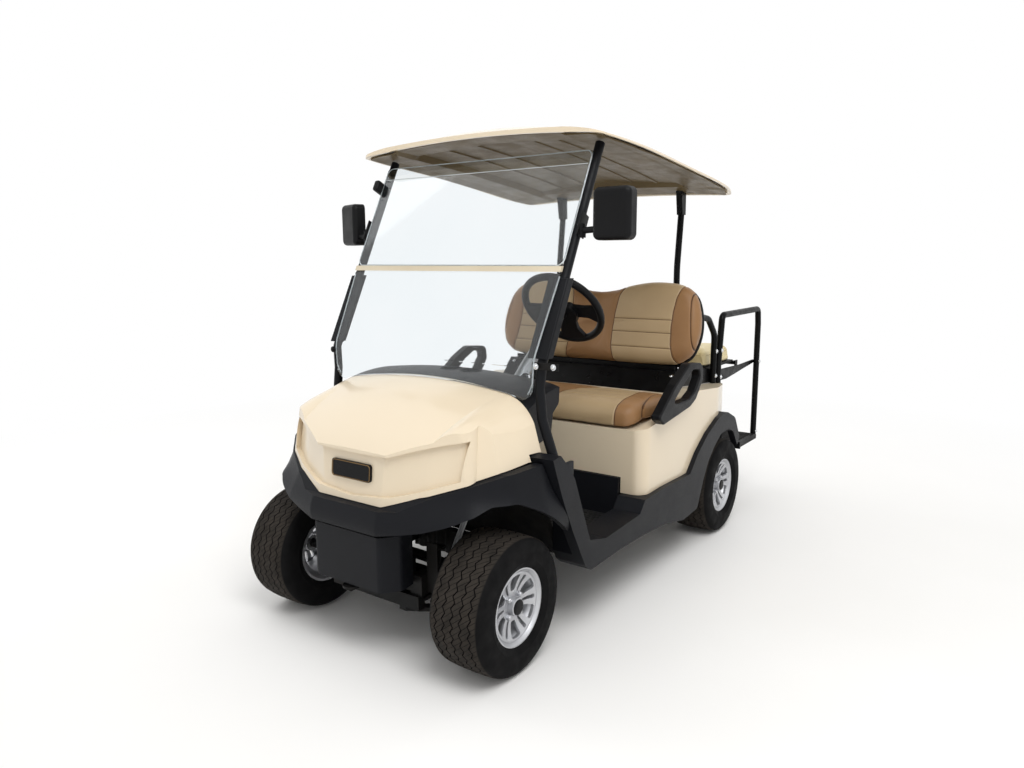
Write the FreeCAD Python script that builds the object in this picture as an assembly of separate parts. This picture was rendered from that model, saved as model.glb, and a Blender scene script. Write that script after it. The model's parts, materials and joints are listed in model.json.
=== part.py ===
import FreeCAD, Part
import math
import os

V = FreeCAD.Vector

# Driving sizes in millimetres. X is the cart's left, Y runs back from the front axle, Z up from the floor.
WHEELBASE = 1664.0
TYRE_R = 228.6
TYRE_W = 212.0
RIM_R = 128.0
FRONT_TRACK = 900.0
REAR_TRACK = 985.0
BODY_HALF = 575.0
RAIL_X = 190.0
RAIL_LOW = 215.0
RAIL_HIGH = 285.0
KINGPIN_X = 300.0
REAR_END = 2438.0
FRONT_END = -245.6
ORIGIN_Y = (REAR_END + FRONT_END) / 2
SCREEN_SLOPE = 0.496
SCREEN_Y = 196.0
SCREEN_Z = 972.0
WALL = 8.0
RUNNING_GAP = 0.05

AXES = {"x": V(1, 0, 0), "y": V(0, 1, 0), "z": V(0, 0, 1)}


# General shapes
def place(plane, at, u, v):
    if plane == "x":
        return V(at, u, v)
    if plane == "y":
        return V(u, at, v)
    return V(u, v, at)


def box(x0, x1, y0, y1, z0, z1):
    return Part.makeBox(x1 - x0, y1 - y0, z1 - z0, V(x0, y0, z0))


def mirrored(shape):
    return shape.mirror(V(0, 0, 0), V(1, 0, 0))


def pair(shape):
    return Part.makeCompound([shape, mirrored(shape)])


def group(shapes):
    return Part.makeCompound(list(shapes))


def fused(shapes):
    shapes = list(shapes)
    return shapes[0].fuse(shapes[1:]).removeSplitter()


def rounded_corner(before, here, after, radius):
    """Start, middle and end of the arc that rounds a corner."""
    to_before = (before - here).normalize()
    to_after = (after - here).normalize()
    half = to_before.getAngle(to_after) / 2
    cut = radius / math.tan(half)
    bisector = (to_before + to_after).normalize()
    middle = here + bisector * (radius / math.sin(half) - radius)
    return here + to_before * cut, middle, here + to_after * cut


def joined_edges(stops, closed):
    """Lines between the stops, with an arc at each stop that has a middle point."""
    edges = []
    for i, (start, middle, finish) in enumerate(stops):
        if middle is not None:
            edges.append(Part.Arc(start, middle, finish).toShape())
        if i + 1 < len(stops) or closed:
            following = stops[(i + 1) % len(stops)][0]
            if (following - finish).Length > 1e-4:
                edges.append(Part.LineSegment(finish, following).toShape())
    return edges


def outline(plane, at, corners):
    """Closed wire through corners (u, v) or (u, v, radius)."""
    points = [place(plane, at, corner[0], corner[1]) for corner in corners]
    stops = []
    for i, corner in enumerate(corners):
        radius = corner[2] if len(corner) > 2 else 0
        here = points[i]
        if radius:
            stops.append(rounded_corner(points[i - 1], here, points[(i + 1) % len(points)], radius))
        else:
            stops.append((here, None, here))
    return Part.Wire(joined_edges(stops, True))


def mirror_outline(half):
    """Whole outline from its right half, whose first and last corners lie on the middle line."""
    return list(half) + [(-corner[0],) + tuple(corner[1:]) for corner in reversed(half[1:-1])]


def prism(plane, start, end, corners):
    face = Part.Face(outline(plane, start, corners))
    return face.extrude(AXES[plane] * (end - start))


def path(points, bend):
    """Open wire of straight runs joined by tangent arcs of one radius."""
    points = [V(*p) for p in points]
    stops = [(points[0], None, points[0])]
    for before, here, after in zip(points, points[1:], points[2:]):
        stops.append(rounded_corner(before, here, after, bend))
    stops.append((points[-1], None, points[-1]))
    return Part.Wire(joined_edges(stops, False))


def tube(points, radius, bend=40.0):
    """Round bar along a bent path."""
    first = V(*points[0])
    along = V(*points[1]) - first
    circle = Part.Wire(Part.Circle(first, along, radius).toShape())
    if len(points) == 2:
        return Part.makeCylinder(radius, along.Length, first, along)
    return path(points, bend).makePipeShell([circle], True, True)


def cylinder(axis, centre, radius, length):
    """Cylinder centred on a point along an axis."""
    direction = AXES[axis]
    return Part.makeCylinder(radius, length, V(*centre) - direction * (length / 2), direction)


def turned(profile, centre_x):
    """Solid of revolution about a line along X through a wheel's centre: (x, r) corners."""
    face = Part.Face(outline("z", 0.0, profile))
    solid = face.revolve(V(0, 0, 0), V(1, 0, 0), 360)
    solid.translate(V(centre_x, 0, 0))
    return solid


def at_angle(shape, degrees, centre=(0, 0, 0), axis="x"):
    copy = shape.copy()
    copy.rotate(V(*centre), AXES[axis], degrees)
    return copy


def loft(wires, ruled=False):
    return Part.makeLoft(wires, True, ruled)


def softened(shape, radius, axis, at):
    """Round the edges that lie in one plane square to an axis."""
    flat = [edge for edge in shape.Edges
            if all(abs(getattr(vertex.Point, axis) - at) < 0.01 for vertex in edge.Vertexes)]
    return shape.makeFillet(radius, flat)


# Wheels
SPOKE_PAIRS = 6


def tyre(centre_x, centre_y):
    half = TYRE_W / 2
    bead = half - 26
    profile = [
        (-bead, 117), (-half + 2, 148, 34), (-half + 2, TYRE_R - 18, 30), (-half + 36, TYRE_R),
        (half - 36, TYRE_R), (half - 2, TYRE_R - 18, 30), (half - 2, 148, 34), (bead, 117),
        (bead - 14, 104), (-bead + 14, 104),
    ]
    solid = turned(profile, centre_x)
    solid.translate(V(0, centre_y, TYRE_R))
    return solid


def rim(centre_x, centre_y, side):
    """Alloy rim with a spoked face; side is +1 or -1 for the face's direction."""
    barrel = [
        (-92, RIM_R), (-92, 120), (-80, 108), (-70, 97), (58, 97), (76, 110), (92, 120), (92, RIM_R),
        (86, 122), (80, 115), (66, 103), (-66, 103), (-80, 115), (-86, 122),
    ]
    face = [(40, 20), (62, 20), (66, 60), (74, 100), (60, 100), (52, 60), (40, 40)]
    hub = [(0, 32), (84, 32, 4), (88, 26), (88, 0.0), (0, 0.0)]
    solids = [turned(barrel, 0), turned(face, 0), turned(hub, 0)]
    wheel = fused(solids)
    for i in range(SPOKE_PAIRS):
        window = prism("x", 20, 100, [(-11, 54, 5), (11, 54, 5), (20, 93, 7), (-20, 93, 7)])
        slot = prism("x", 20, 100, [(-2.5, 48, 2), (2.5, 48, 2), (5, 90, 4), (-5, 90, 4)])
        step = 360.0 / SPOKE_PAIRS
        wheel = wheel.cut(at_angle(window, i * step))
        wheel = wheel.cut(at_angle(slot, (i + 0.5) * step))
    bore = cylinder("x", (15, 0, 0), 16, 90)
    wheel = wheel.cut(bore)
    if side < 0:
        wheel = mirrored(wheel)
    wheel.translate(V(centre_x, centre_y, TYRE_R))
    return wheel


# Running gear
def main_frame():
    rail = prism("x", RAIL_X - 25, RAIL_X + 25, [
        (-100, RAIL_LOW), (1500, RAIL_LOW), (1560, 300), (1800, 300), (1860, RAIL_LOW), (1960, RAIL_LOW),
        (1960, RAIL_HIGH), (1880, RAIL_HIGH), (1820, 370), (1540, 370), (1480, RAIL_HIGH), (-100, RAIL_HIGH),
    ])
    return pair(rail)


CROSS_MEMBERS = (-78.0, 330.0, 800.0, 1250.0, 1930.0)


def cross_members():
    inner = RAIL_X - 25
    return group(box(-inner, inner, y - 22, y + 22, 225, 275) for y in CROSS_MEMBERS)


def front_suspension():
    """Lower wishbones, a leaf spring across the cart, and a damper on each side."""
    arm = prism("z", 152, 166, [(120, -110), (150, -110), (286, -28), (286, 28), (150, 110), (120, 110)])
    arm = arm.cut(prism("z", 140, 180, [(152, -70, 8), (225, -22, 8), (225, 22, 8), (152, 70, 8)]))
    eye = cylinder("z", (KINGPIN_X, 0, 159), 28, 14)
    leaf = prism("y", -26, 26, [(0, 318), (150, 316), (284, 304), (284, 292), (150, 304), (0, 306)])
    leaf_eye = cylinder("z", (KINGPIN_X, 0, 298), 24, 12)
    pin_hole = cylinder("z", (KINGPIN_X, 0, 229), KINGPIN_R + RUNNING_GAP, 200)
    side = fused([arm, eye, leaf, leaf_eye]).cut(pin_hole)
    beams = [box(-208, 208, y - 16, y + 16, 166, RAIL_LOW) for y in (-94, 94)]
    centre = box(-60, 60, -110, 110, 170, 192)
    pillar = box(-60, 60, -40, 40, 190, 306)
    body = fused(beams + [centre, pillar, side, mirrored(side)])
    damper = fused([
        tube([(246, -42, 166), (242, -42, 290)], 17),
        tube([(242, -42, 280), (240, -42, 376)], 10),
    ])
    tower = fused([box(215.2, 262, -72, -66, 225, 400), box(215.2, 262, -72, -24, 376.2, 382)])
    return group([body, damper, mirrored(damper), tower, mirrored(tower)])


KINGPIN_R = 14.0
STEERING_ARM = 128.0
RACK_Z = 181.0


def knuckle():
    """Left steering knuckle: kingpin, spindle, brake drum and the arm that the tie rod pulls."""
    kingpin = cylinder("z", (KINGPIN_X, 0, 229), KINGPIN_R, 160)
    carrier = box(KINGPIN_X - 24, KINGPIN_X + 24, -24, 24, 172, 286)
    spindle = tube([(KINGPIN_X, 0, TYRE_R), (502, 0, TYRE_R)], 16 - RUNNING_GAP)
    drum = cylinder("x", (KINGPIN_X + 40, 0, TYRE_R), 62, 24)
    arm = prism("z", 196, 210, [(KINGPIN_X - 18, 0), (KINGPIN_X + 10, 0),
                                (KINGPIN_X - 4, STEERING_ARM + 14, 12),
                                (KINGPIN_X - 32, STEERING_ARM + 14, 12)])
    return fused([kingpin, carrier, spindle, drum, arm])


def steering_rack():
    """Sliding rack with its tie rods; each rod's eye sits under a knuckle arm."""
    end_x = KINGPIN_X - 18
    bar = tube([(-end_x, STEERING_ARM, RACK_Z), (end_x, STEERING_ARM, RACK_Z)], 9)
    eyes = [cylinder("z", (side * end_x, STEERING_ARM, RACK_Z), 13, 18) for side in (-1, 1)]
    return fused([bar] + eyes)


def rear_axle():
    half = REAR_TRACK / 2
    casing = tube([(-half + 70, WHEELBASE, TYRE_R), (half - 70, WHEELBASE, TYRE_R)], 34)
    gear_case = fused([
        cylinder("x", (60, WHEELBASE, TYRE_R), 92, 130),
        cylinder("x", (60, MOTOR_Y, MOTOR_Z), 70, 130),
        box(-5, 125, MOTOR_Y, WHEELBASE, TYRE_R - 50, TYRE_R + 60),
    ])
    stubs = [cylinder("x", (side * (half - 48), WHEELBASE, TYRE_R), 16 - RUNNING_GAP, 160) for side in (-1, 1)]
    drums = [cylinder("x", (side * (half - 92), WHEELBASE, TYRE_R), 80, 36) for side in (-1, 1)]
    return fused([casing, gear_case] + stubs + drums)


def rear_springs():
    leaf = prism("x", 320, 365, [
        (WHEELBASE - 330, 286), (WHEELBASE - 60, 182), (WHEELBASE + 60, 182), (WHEELBASE + 330, 286),
        (WHEELBASE + 330, 298), (WHEELBASE + 60, 194.4), (WHEELBASE - 60, 194.4), (WHEELBASE - 330, 298),
    ])
    return pair(leaf)


MOTOR_Y = WHEELBASE - 178
MOTOR_Z = 258.0


def drive_motor():
    return cylinder("x", (-76, MOTOR_Y, MOTOR_Z), 86, 140)


def battery_block():
    return box(-400, 400, 900, 1230, 285.2, 560)


# Front bodywork. Half plans seen from above: x, y, radius
LIP_PLAN = ((146, -209, 40), (300, -163, 90), (430, -98, 90), (530, -10, 90), (566, 100, 90), (575, 330, 0))
CREASE_PLAN = ((168, -190, 40), (300, -130, 90), (417, -75, 120), (448, 20, 90), (474, 110, 90), (538, 330, 0))
BAND_PLAN = ((155, -247, 40), (316, -205, 110), (484, -148, 110), (578, -44, 110), (596, 100, 110), (598, 330, 0))
BAND_TOP_PLAN = ((149, -207, 40), (299, -163, 110), (427, -99, 110), (525, -11, 110), (564, 100, 110), (576, 330, 0))
LIP_Z = 542.0
CREASE_Z = 772.0
# The band's rounded face: z, share of the way from its widest plan to its top one, inset
BAND_FACE = ((380, 0, 44), (430, 0, 14), (474, 0, 1.4), (515, 0.2, 0), (556, 0.66, 0), (600, 1, 0), (700, 1.6, 0))
BAND_THICK = 24.0


def plan_wire(z, half, inset=0.0):
    """Closed outline seen from above, from a half plan, drawn in by an inset."""
    points = [(max(x - inset, 20), y + inset, radius) for x, y, radius in half]
    return outline("z", z, [(-x, y, radius) for x, y, radius in reversed(points)] + points)


def tapered(z_low, low, z_high, high, inset=0.0):
    return loft([plan_wire(z_low, low, inset), plan_wire(z_high, high, inset)], True)


def carried_on(low, high, scale):
    """Half plan carried on along the taper between two plans."""
    return tuple((lx + (hx - lx) * scale, ly + (hy - ly) * scale, radius)
                 for (lx, ly, radius), (hx, hy, _) in zip(low, high))


# Columns: y, top at the middle, shoulder x, shoulder z, ridge x, ridge z
HOOD_SECTIONS = (
    (-300, 540, 250, 536, 330, 530),
    (-190, 720, 290, 712, 364, 696),
    (-75, 806, 316, 792, 417, 772),
    (60, 868, 336, 846, 456, 778),
    (200, 906, 360, 880, 498, 786),
    (320, 918, 376, 892, 530, 792),
    (440, 908, 380, 886, 545, 800),
)


def hood_wire(y, top, shoulder_x, shoulder_z, ridge_x, ridge_z, drop=0.0):
    """Section across the hood's dome, closed well outside and below the nose."""
    far, low = 640.0, 380.0
    top, shoulder_z, ridge_z = top - drop, shoulder_z - drop, ridge_z - drop
    shoulder_x, ridge_x = shoulder_x - drop * 0.5, ridge_x - drop
    bulge_x = (shoulder_x + ridge_x) / 2 + 14
    bulge_z = (shoulder_z + ridge_z) / 2 + 16
    shoulder, ridge = V(shoulder_x, y, shoulder_z), V(ridge_x, y, ridge_z)
    left_shoulder, left_ridge = V(-shoulder_x, y, shoulder_z), V(-ridge_x, y, ridge_z)
    corners = [ridge, V(far, y, ridge_z), V(far, y, low), V(-far, y, low), V(-far, y, ridge_z), left_ridge]
    edges = [
        Part.Arc(left_ridge, V(-bulge_x, y, bulge_z), left_shoulder).toShape(),
        Part.Arc(left_shoulder, V(0, y, top), shoulder).toShape(),
        Part.Arc(shoulder, V(bulge_x, y, bulge_z), ridge).toShape(),
    ]
    edges += [Part.LineSegment(a, b).toShape() for a, b in zip(corners, corners[1:])]
    return Part.Wire(edges)


def dome(drop=0.0):
    return loft([hood_wire(*row, drop=drop) for row in HOOD_SECTIONS])


def fascia(inset=0.0):
    """Solid with the nose's tapered plan, taller than the hood."""
    z_high = 1000.0
    above = carried_on(LIP_PLAN, CREASE_PLAN, (z_high - LIP_Z) / (CREASE_Z - LIP_Z))
    return tapered(LIP_Z, LIP_PLAN, z_high, above, inset)


def nose(inset=0.0):
    """Solid nose: a tapered plan under the hood's dome."""
    return fascia(inset).common(dome(inset))


# Half outline of the panel sunk into the fascia: x, z
SUNK_PANEL = ((0, 559), (172, 575), (272, 602), (392, 642), (404, 766), (332, 753), (240, 728), (170, 706), (0, 703))
SUNK_DEPTH = 13.0


def sunk_panel(margin, depth):
    """What the panel takes away from the fascia."""
    middle_z = sum(z for _, z in SUNK_PANEL) / len(SUNK_PANEL)
    grown = [(x + margin if x else 0, z + math.copysign(margin, z - middle_z)) for x, z in SUNK_PANEL]
    return prism("y", -400, 60, mirror_outline(grown)).cut(fascia(depth))


# Side outline of the seam between the cream nose and the dark band: y, z
SEAM = ((-300, 520), (-209, 543), (-165, 586), (-98, 628), (-10, 663), (100, 678), (340, 678))
# The hood's rear edge seen from above, where the dash cowl starts
HOOD_REAR_MIDDLE = 205.0
HOOD_REAR_SIDE = 148.0


def behind_hood(gap):
    """Everything above the band and behind the hood's rear edge."""
    far, low = 620.0, 690.0
    left, right = V(-far, HOOD_REAR_SIDE + gap, low), V(far, HOOD_REAR_SIDE + gap, low)
    arc = Part.Arc(left, V(0, HOOD_REAR_MIDDLE + gap, low), right).toShape()
    back = Part.makePolygon([right, V(far, 700, low), V(-far, 700, low), left])
    return Part.Face(Part.Wire([arc] + back.Edges)).extrude(V(0, 0, 400))


def above_seam():
    return prism("x", -700, 700, list(SEAM) + [(340, 1100), (-300, 1100)])


def front_cowl():
    """Cream hood and fascia in one moulding, open below and behind."""
    outside = nose().cut(sunk_panel(0, SUNK_DEPTH))
    inside = nose(WALL).cut(sunk_panel(WALL, SUNK_DEPTH + WALL))
    panel_zone = prism("y", -400, 60, mirror_outline(SUNK_PANEL))
    shell = outside.cut(inside).common(above_seam().fuse(panel_zone))
    shell = shell.cut(behind_hood(0.0))
    return shell.cut(box(-700, 700, 112, 700, 400, 701))


def front_bumper():
    """Dark band round the nose, arched over the front wheels."""
    outer, inner = (loft([plan_wire(z, carried_on(BAND_PLAN, BAND_TOP_PLAN, share), inset + wall)
                          for z, share, inset in BAND_FACE]) for wall in (0.0, BAND_THICK))
    seam = [(y, z - 3) for y, z in reversed(SEAM[:-2])]
    side = [
        (-300, 451), (-245, 455), (-194, 496), (-137, 535), (-65, 568, 40), (0, 572, 60),
        (70, 537, 60), (122, 504), (177, 462), (234, 423), (166, 560), (111, 677),
    ] + seam
    band = outer.cut(inner).common(prism("x", -700, 700, side))
    return band.common(box(-700, 700, FRONT_END, 500, 300, 800))


SKIRT_LOW = 258.0
SKIRT_HIGH = 446.0


def front_skirt():
    """Box-like apron between the front wheels, open above and behind."""
    low = [(-152, -231, 22), (152, -231, 22), (196, -170, 22), (186, -108), (-186, -108), (-196, -170, 22)]
    inner = [(-147, -223, 16), (147, -223, 16), (188, -168, 16), (178, -100), (-178, -100), (-188, -168, 16)]
    apron = prism("z", SKIRT_LOW, SKIRT_HIGH, low).cut(prism("z", SKIRT_LOW + 6, SKIRT_HIGH + 9, inner))
    return apron


TOW_EYE_Y = -212.0


def tow_eye():
    """Flat tongue with a round eye, welded to the first cross member."""
    tongue = box(-30, 30, TOW_EYE_Y, -107.8, 240, 248)
    nose_end = cylinder("z", (0, TOW_EYE_Y, 244), 30, 8)
    flange = box(-30, 30, -108, -100.2, 225, 275)
    gusset = prism("x", -4, 4, [(-108, 226), (-108, 240), (-170, 240)])
    return fused([tongue, nose_end, flange, gusset]).cut(cylinder("z", (0, TOW_EYE_Y, 244), 9, 40))


def badge_plate():
    """Blank plate on the fascia's flat middle panel."""
    lean = math.degrees(math.atan2(CREASE_PLAN[0][1] - LIP_PLAN[0][1], CREASE_Z - LIP_Z))
    plate = prism("y", -8, 0, [(-92, -30, 12), (92, -30, 12), (92, 30, 12), (-92, 30, 12)])
    plate.rotate(V(0, 0, 0), V(1, 0, 0), -lean)
    front = LIP_PLAN[0][1] + SUNK_DEPTH + (640 - LIP_Z) * math.tan(math.radians(lean))
    plate.translate(V(0, front - 0.3, 640))
    return plate


# Cabin. Bin columns: x0, x1, front y, z0, z1
DASH_BINS = ((-420, -70, 250, 800, 856), (330, 425, 262, 800, 856))
CUP_HOLDERS = ((-10, 342), (84, 342))
CUP_R = 38.0
WHEEL_CENTRE = V(240, 736, 1129)
COLUMN_LEAN = math.radians(39.4)
COLUMN_ALONG = V(0, -math.cos(COLUMN_LEAN), -math.sin(COLUMN_LEAN))


def dash():
    """Dark cowl and dash from the hood's rear edge to the driver, with open bins."""
    side = [
        (80, 700), (80, 990), (300, 990), (404, 930, 24), (396, 820, 20), (352, 792), (336, 716), (236, 700),
    ]
    block = prism("x", -560, 560, side).common(dome()).common(behind_hood(2.0))
    block = block.cut(box(-700, 700, 0, 700, 600, 700))
    for x0, x1, y0, z0, z1 in DASH_BINS:
        block = block.cut(prism("y", y0, 500, [(x0, z0, 18), (x1, z0, 18), (x1, z1, 18), (x0, z1, 18)]))
    for x, y in CUP_HOLDERS:
        block = block.cut(Part.makeCylinder(CUP_R, 200, V(x, y, 836)))
    sides = prism("x", 300, 640, [(150, 600), (150, 1000), (500, 1000), (500, 600)])
    outer_taper = prism("z", 600, 1000, [(464, 60), (640, 60), (640, 500), (430, 500), (452, 230)])
    outer_taper = outer_taper.common(sides)
    block = block.cut(outer_taper).cut(mirrored(outer_taper))
    return block.cut(column_core(0.4)).cut(column_shaft(0.5))


def column_core(gap):
    top = WHEEL_CENTRE + COLUMN_ALONG * 46
    return Part.makeCylinder(26 + gap, 400, top, COLUMN_ALONG)


def column_shaft(gap):
    """Lower shaft from the column's foot to the rack's housing."""
    low = WHEEL_CENTRE + COLUMN_ALONG * 440
    return tube([(low.x, low.y, low.z), (120, STEERING_ARM, RACK_Z + 12)], 11 + gap)


def steering_column():
    stub = Part.makeCylinder(11 - RUNNING_GAP, 60, WHEEL_CENTRE + COLUMN_ALONG * 8, COLUMN_ALONG)
    shaft = column_shaft(0)
    housing = cylinder("x", (100, STEERING_ARM, RACK_Z), 17, 60)
    housing = housing.cut(cylinder("x", (100, STEERING_ARM, RACK_Z), 9 + RUNNING_GAP, 80))
    shaft = shaft.cut(cylinder("x", (100, STEERING_ARM, RACK_Z), 9 + RUNNING_GAP, 80))
    foot = box(84, 116, 110.3, 122, 171, 178).cut(cylinder("x", (100, STEERING_ARM, RACK_Z), 12, 80))
    return fused([column_core(0), stub, shaft, housing, foot])


WHEEL_R = 165.0
# Half outlines of the spokes in the wheel's own plane, v towards the driver: u, v, radius
WHEEL_PAD = ((0, -34), (52, -34, 14), (74, 10, 20), (50, 62, 20), (0, 66))
WHEEL_SIDE_SPOKE = ((40, -26), (100, -20, 30), (158, -22), (152, 60), (112, 34, 20), (40, 30))
WHEEL_LOW_SPOKE = ((0, 40), (44, 40), (40, 100, 30), (62, 150), (0, 160))


def steering_wheel():
    """Thick rim on a dished pad, with two side spokes and a broad lower one."""
    ring = Part.makeTorus(WHEEL_R, 15)
    pad = prism("z", -26, 4, mirror_outline(WHEEL_PAD))
    side = prism("z", -12, 4, WHEEL_SIDE_SPOKE)
    low = prism("z", -12, 4, mirror_outline(WHEEL_LOW_SPOKE))
    boss = Part.makeCylinder(30, 24, V(0, 0, -30))
    wheel = fused([ring, pad, side, mirrored(side), low, boss])
    wheel = wheel.cut(Part.makeCylinder(11, 34, V(0, 0, -42)))
    wheel.rotate(V(0, 0, 0), V(1, 0, 0), math.degrees(COLUMN_LEAN) - 90)
    wheel.translate(WHEEL_CENTRE)
    return wheel


def floor_pan():
    """Floor with its front toe board rising to the dash."""
    side = [
        (330, 286.5), (778, 286.5), (778, 300), (470, 300), (352, 316), (214, 560), (214, 698), (202, 698),
        (202, 556),
    ]
    pan = prism("x", -470, 470, side)
    return pan.cut(column_shaft(0.5))


def pedals():
    """Throttle and brake pads on their arms, which come through the toe board."""
    solids = []
    for x, wide, tall in ((150, 62, 150), (300, 90, 110)):
        pad = box(x - wide / 2, x + wide / 2, -7, 7, 0, tall)
        pad.rotate(V(0, 0, 0), V(1, 0, 0), -28)
        pad.translate(V(0, 366, 350))
        arm = tube([(x, 376, 384), (x, 296, 404)], 9)
        solids.append(fused([pad, arm]).cut(floor_pan()))
    return group(max(solid.Solids, key=lambda one: one.Volume) for solid in solids)


# Side line between the cream body and the dark flare, also the flare's top: y, z, radius
FLARE_TOP = (
    (787, 386), (963, 391), (1233, 386), (1318, 462, 40), (1430, 530, 60), (1560, 582, 80),
    (1665, 596, 90), (1782, 548, 60), (1856, 436),
)
FLARE_LOW = (
    (1826, 400), (1760, 482, 40), (1692, 507, 80), (1596, 500, 80), (1511, 452, 60), (1442, 395, 60),
    (1390, 320), (1352, 250), (1328, 204, 30), (1172, 193), (983, 230), (794, 244), (580, 249),
    (360, 243, 40), (322, 273, 30), (236, 424),
)
POST_INNER = ((168, 561), (113, 694), (160, 700), (223, 639), (250, 600), (355, 356), (471, 327), (745, 340))
SILL_IN = 476.0
SILL_OUT = 596.0
FLANGE = 12.0


def rockers():
    """Dark sill moulding from the front post to the rear wheel's flare, one long piece a side."""
    outer = prism("x", SILL_IN, SILL_OUT, list(POST_INNER) + list(FLARE_TOP) + list(FLARE_LOW))
    under = prism("x", SILL_IN - 20, SILL_OUT - 20, [(360, 200), (390, 300), (1240, 300), (1300, 200)])
    lowered = [(y, z - FLANGE) + tuple(rest) for y, z, *rest in FLARE_TOP[2:-1]]
    wheel_room = prism("x", SILL_IN - 20, SILL_OUT - 30, [(1290, 100)] + lowered[1:] + [(1900, 436), (1900, 100)])
    front_room = box(SILL_IN - 20, SILL_OUT - 40, 0, 300, 100, 640)
    solid = outer.cut(under).cut(wheel_room).cut(front_room).cut(strut_channel())
    return pair(max(solid.Solids, key=lambda one: one.Volume))


def kick_panel():
    return prism("x", -470, 470, [(779, 288), (799, 288), (811, 452), (800, 452)])


BODY_TOP = ((1990, 690, 30), (1660, 716, 60), (1377, 739, 30), (980, 679, 20), (799, 652, 12))


# Half plan of the body seen from above: x, y, radius
BODY_PLAN = ((BODY_HALF, 813, 55), (BODY_HALF, 1600, 200), (520, 1800, 200), (430, 1960, 70))
BODY_INNER_PLAN = ((BODY_HALF - 12, 822, 44), (BODY_HALF - 12, 1600, 190), (508, 1796, 190), (420, 1948, 60))


def both_sides(half):
    """Closed outline from its right half."""
    return list(half) + [(-corner[0],) + tuple(corner[1:]) for corner in reversed(half)]


def rear_body():
    """Cream body under the seats: a shell open below, with a recess for the cushion."""
    outer = prism("x", -BODY_HALF, BODY_HALF, [(813, 388), (1990, 388)] + list(BODY_TOP))
    inner = prism("x", -BODY_HALF, BODY_HALF, [
        (822, 380), (1976, 380), (1976, 676), (1655, 702), (1377, 724), (1262, 706), (1262, 660), (822, 632)])
    plan = prism("z", 300, 800, both_sides(BODY_PLAN))
    inner_plan = prism("z", 300, 800, both_sides(BODY_INNER_PLAN))
    shell = outer.common(plan).cut(inner.common(inner_plan))
    recess = prism("x", -534, 534, [(780, 649), (1250, 678), (1250, 900), (780, 900)])
    bay = box(-430, 430, 890, 1236, 560, 900)
    raised = [(y, z + 1) + tuple(rest) for y, z, *rest in FLARE_TOP]
    below_flare = prism("x", -700, 700, [(780, 200)] + raised + [(1856, 200)])
    front_gap = box(-472, 472, 700, 830, 380, 453)
    return shell.cut(recess).cut(bay).cut(below_flare).cut(front_gap)


VALANCE_FRONT = 1857.0


def rear_valance():
    """Dark band round the foot of the body behind the rear wheels."""
    face = Part.Face(outline("z", 370, both_sides(BODY_PLAN)))
    outer = face.makeOffset2D(13).extrude(V(0, 0, 68))
    against_body = face.makeOffset2D(0.5).extrude(V(0, 0, 68))
    return outer.cut(against_body).cut(box(-700, 700, 700, VALANCE_FRONT, 300, 500))


# Seats
def seat_cushion():
    side = [(803, 654, 14), (1236, 682), (1240, 738, 20), (900, 766, 60), (797, 742, 36)]
    return prism("x", -528, 528, side)


SEAT_BACK_LEAN = 16.0
SEAT_BACK_Y = 1330.0
SEAT_BACK_Z = 846.0
# Half outline of the back cushion: x, height above its foot, radius
BACK_OUTLINE = ((440, 0, 110), (546, 130, 150), (530, 330, 130), (320, 404, 120), (0, 362, 160))


def back_slab(half, start, end):
    """Slab with a mirrored outline, leaning back like the seat."""
    middle = [half[-1]]
    left = [(-x,) + tuple(rest) for x, *rest in reversed(half[:-1])]
    slab = prism("y", start, end, list(half[:-1]) + middle + left)
    slab.rotate(V(0, 0, 0), V(1, 0, 0), -SEAT_BACK_LEAN)
    slab.translate(V(0, SEAT_BACK_Y, SEAT_BACK_Z))
    return slab


def seat_back():
    return back_slab(BACK_OUTLINE, 0, 96)


def seat_back_shell():
    shell = ((470, 30, 60), (520, 150, 120), (500, 330, 110), (320, 380, 110), (0, 346, 160))
    return back_slab(shell, 96.5, 118)


BASE_SIDE = (
    (1300, 728.5), (1377, 740.5), (1660, 717.5), (1868, 701), (1868, 770), (1500, 812), (1372, 812))


def rear_seat_base():
    """Black steel carrier behind the front seat: a front panel and two side plates."""
    panel = prism("x", -470, 470, [(1286, 727), (1300, 729), (1384, 812), (1370, 812)])
    plate = prism("x", 449, 455, BASE_SIDE)
    shelf = prism("x", -448.8, 448.8, [(1400, 776), (1598, 758), (1598, 764), (1400, 782)])
    return group([panel, plate, mirrored(plate), shelf])


# Armrest loops stand outside the body's top edge: y, z, radius
ARM_OUTER = ((856, 702, 14), (908, 668, 20), (1168, 700, 40), (1228, 724, 30), (1298, 800, 34),
             (1292, 876, 34), (1150, 889, 50), (1010, 815, 60))
ARM_HOLE = ((990, 742, 9), (1040, 735, 12), (1150, 737, 30), (1212, 762, 30), (1264, 818, 22),
            (1252, 850, 14), (1190, 858, 24), (1105, 814, 40))
ARM_OUT = BODY_HALF + 40


def armrests():
    loop = prism("x", BODY_HALF + 1, ARM_OUT, ARM_OUTER).cut(prism("x", 500, 700, ARM_HOLE))
    return pair(softened(loop, 8, "x", ARM_OUT))


# Roof and its posts
FRONT_STRUT = (
    (572, 198, 600), (497, 200, 800), (486, 202, 900), (492, 205, 985), (494, 355, 1293), (494, 570, 1726))
STRUT_R = 17.0


def front_struts():
    return pair(tube(FRONT_STRUT, STRUT_R, 30))


def strut_channel():
    """Room for the left strut in the panels beside it."""
    return tube(FRONT_STRUT, STRUT_R + 0.5, 30)


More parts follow.
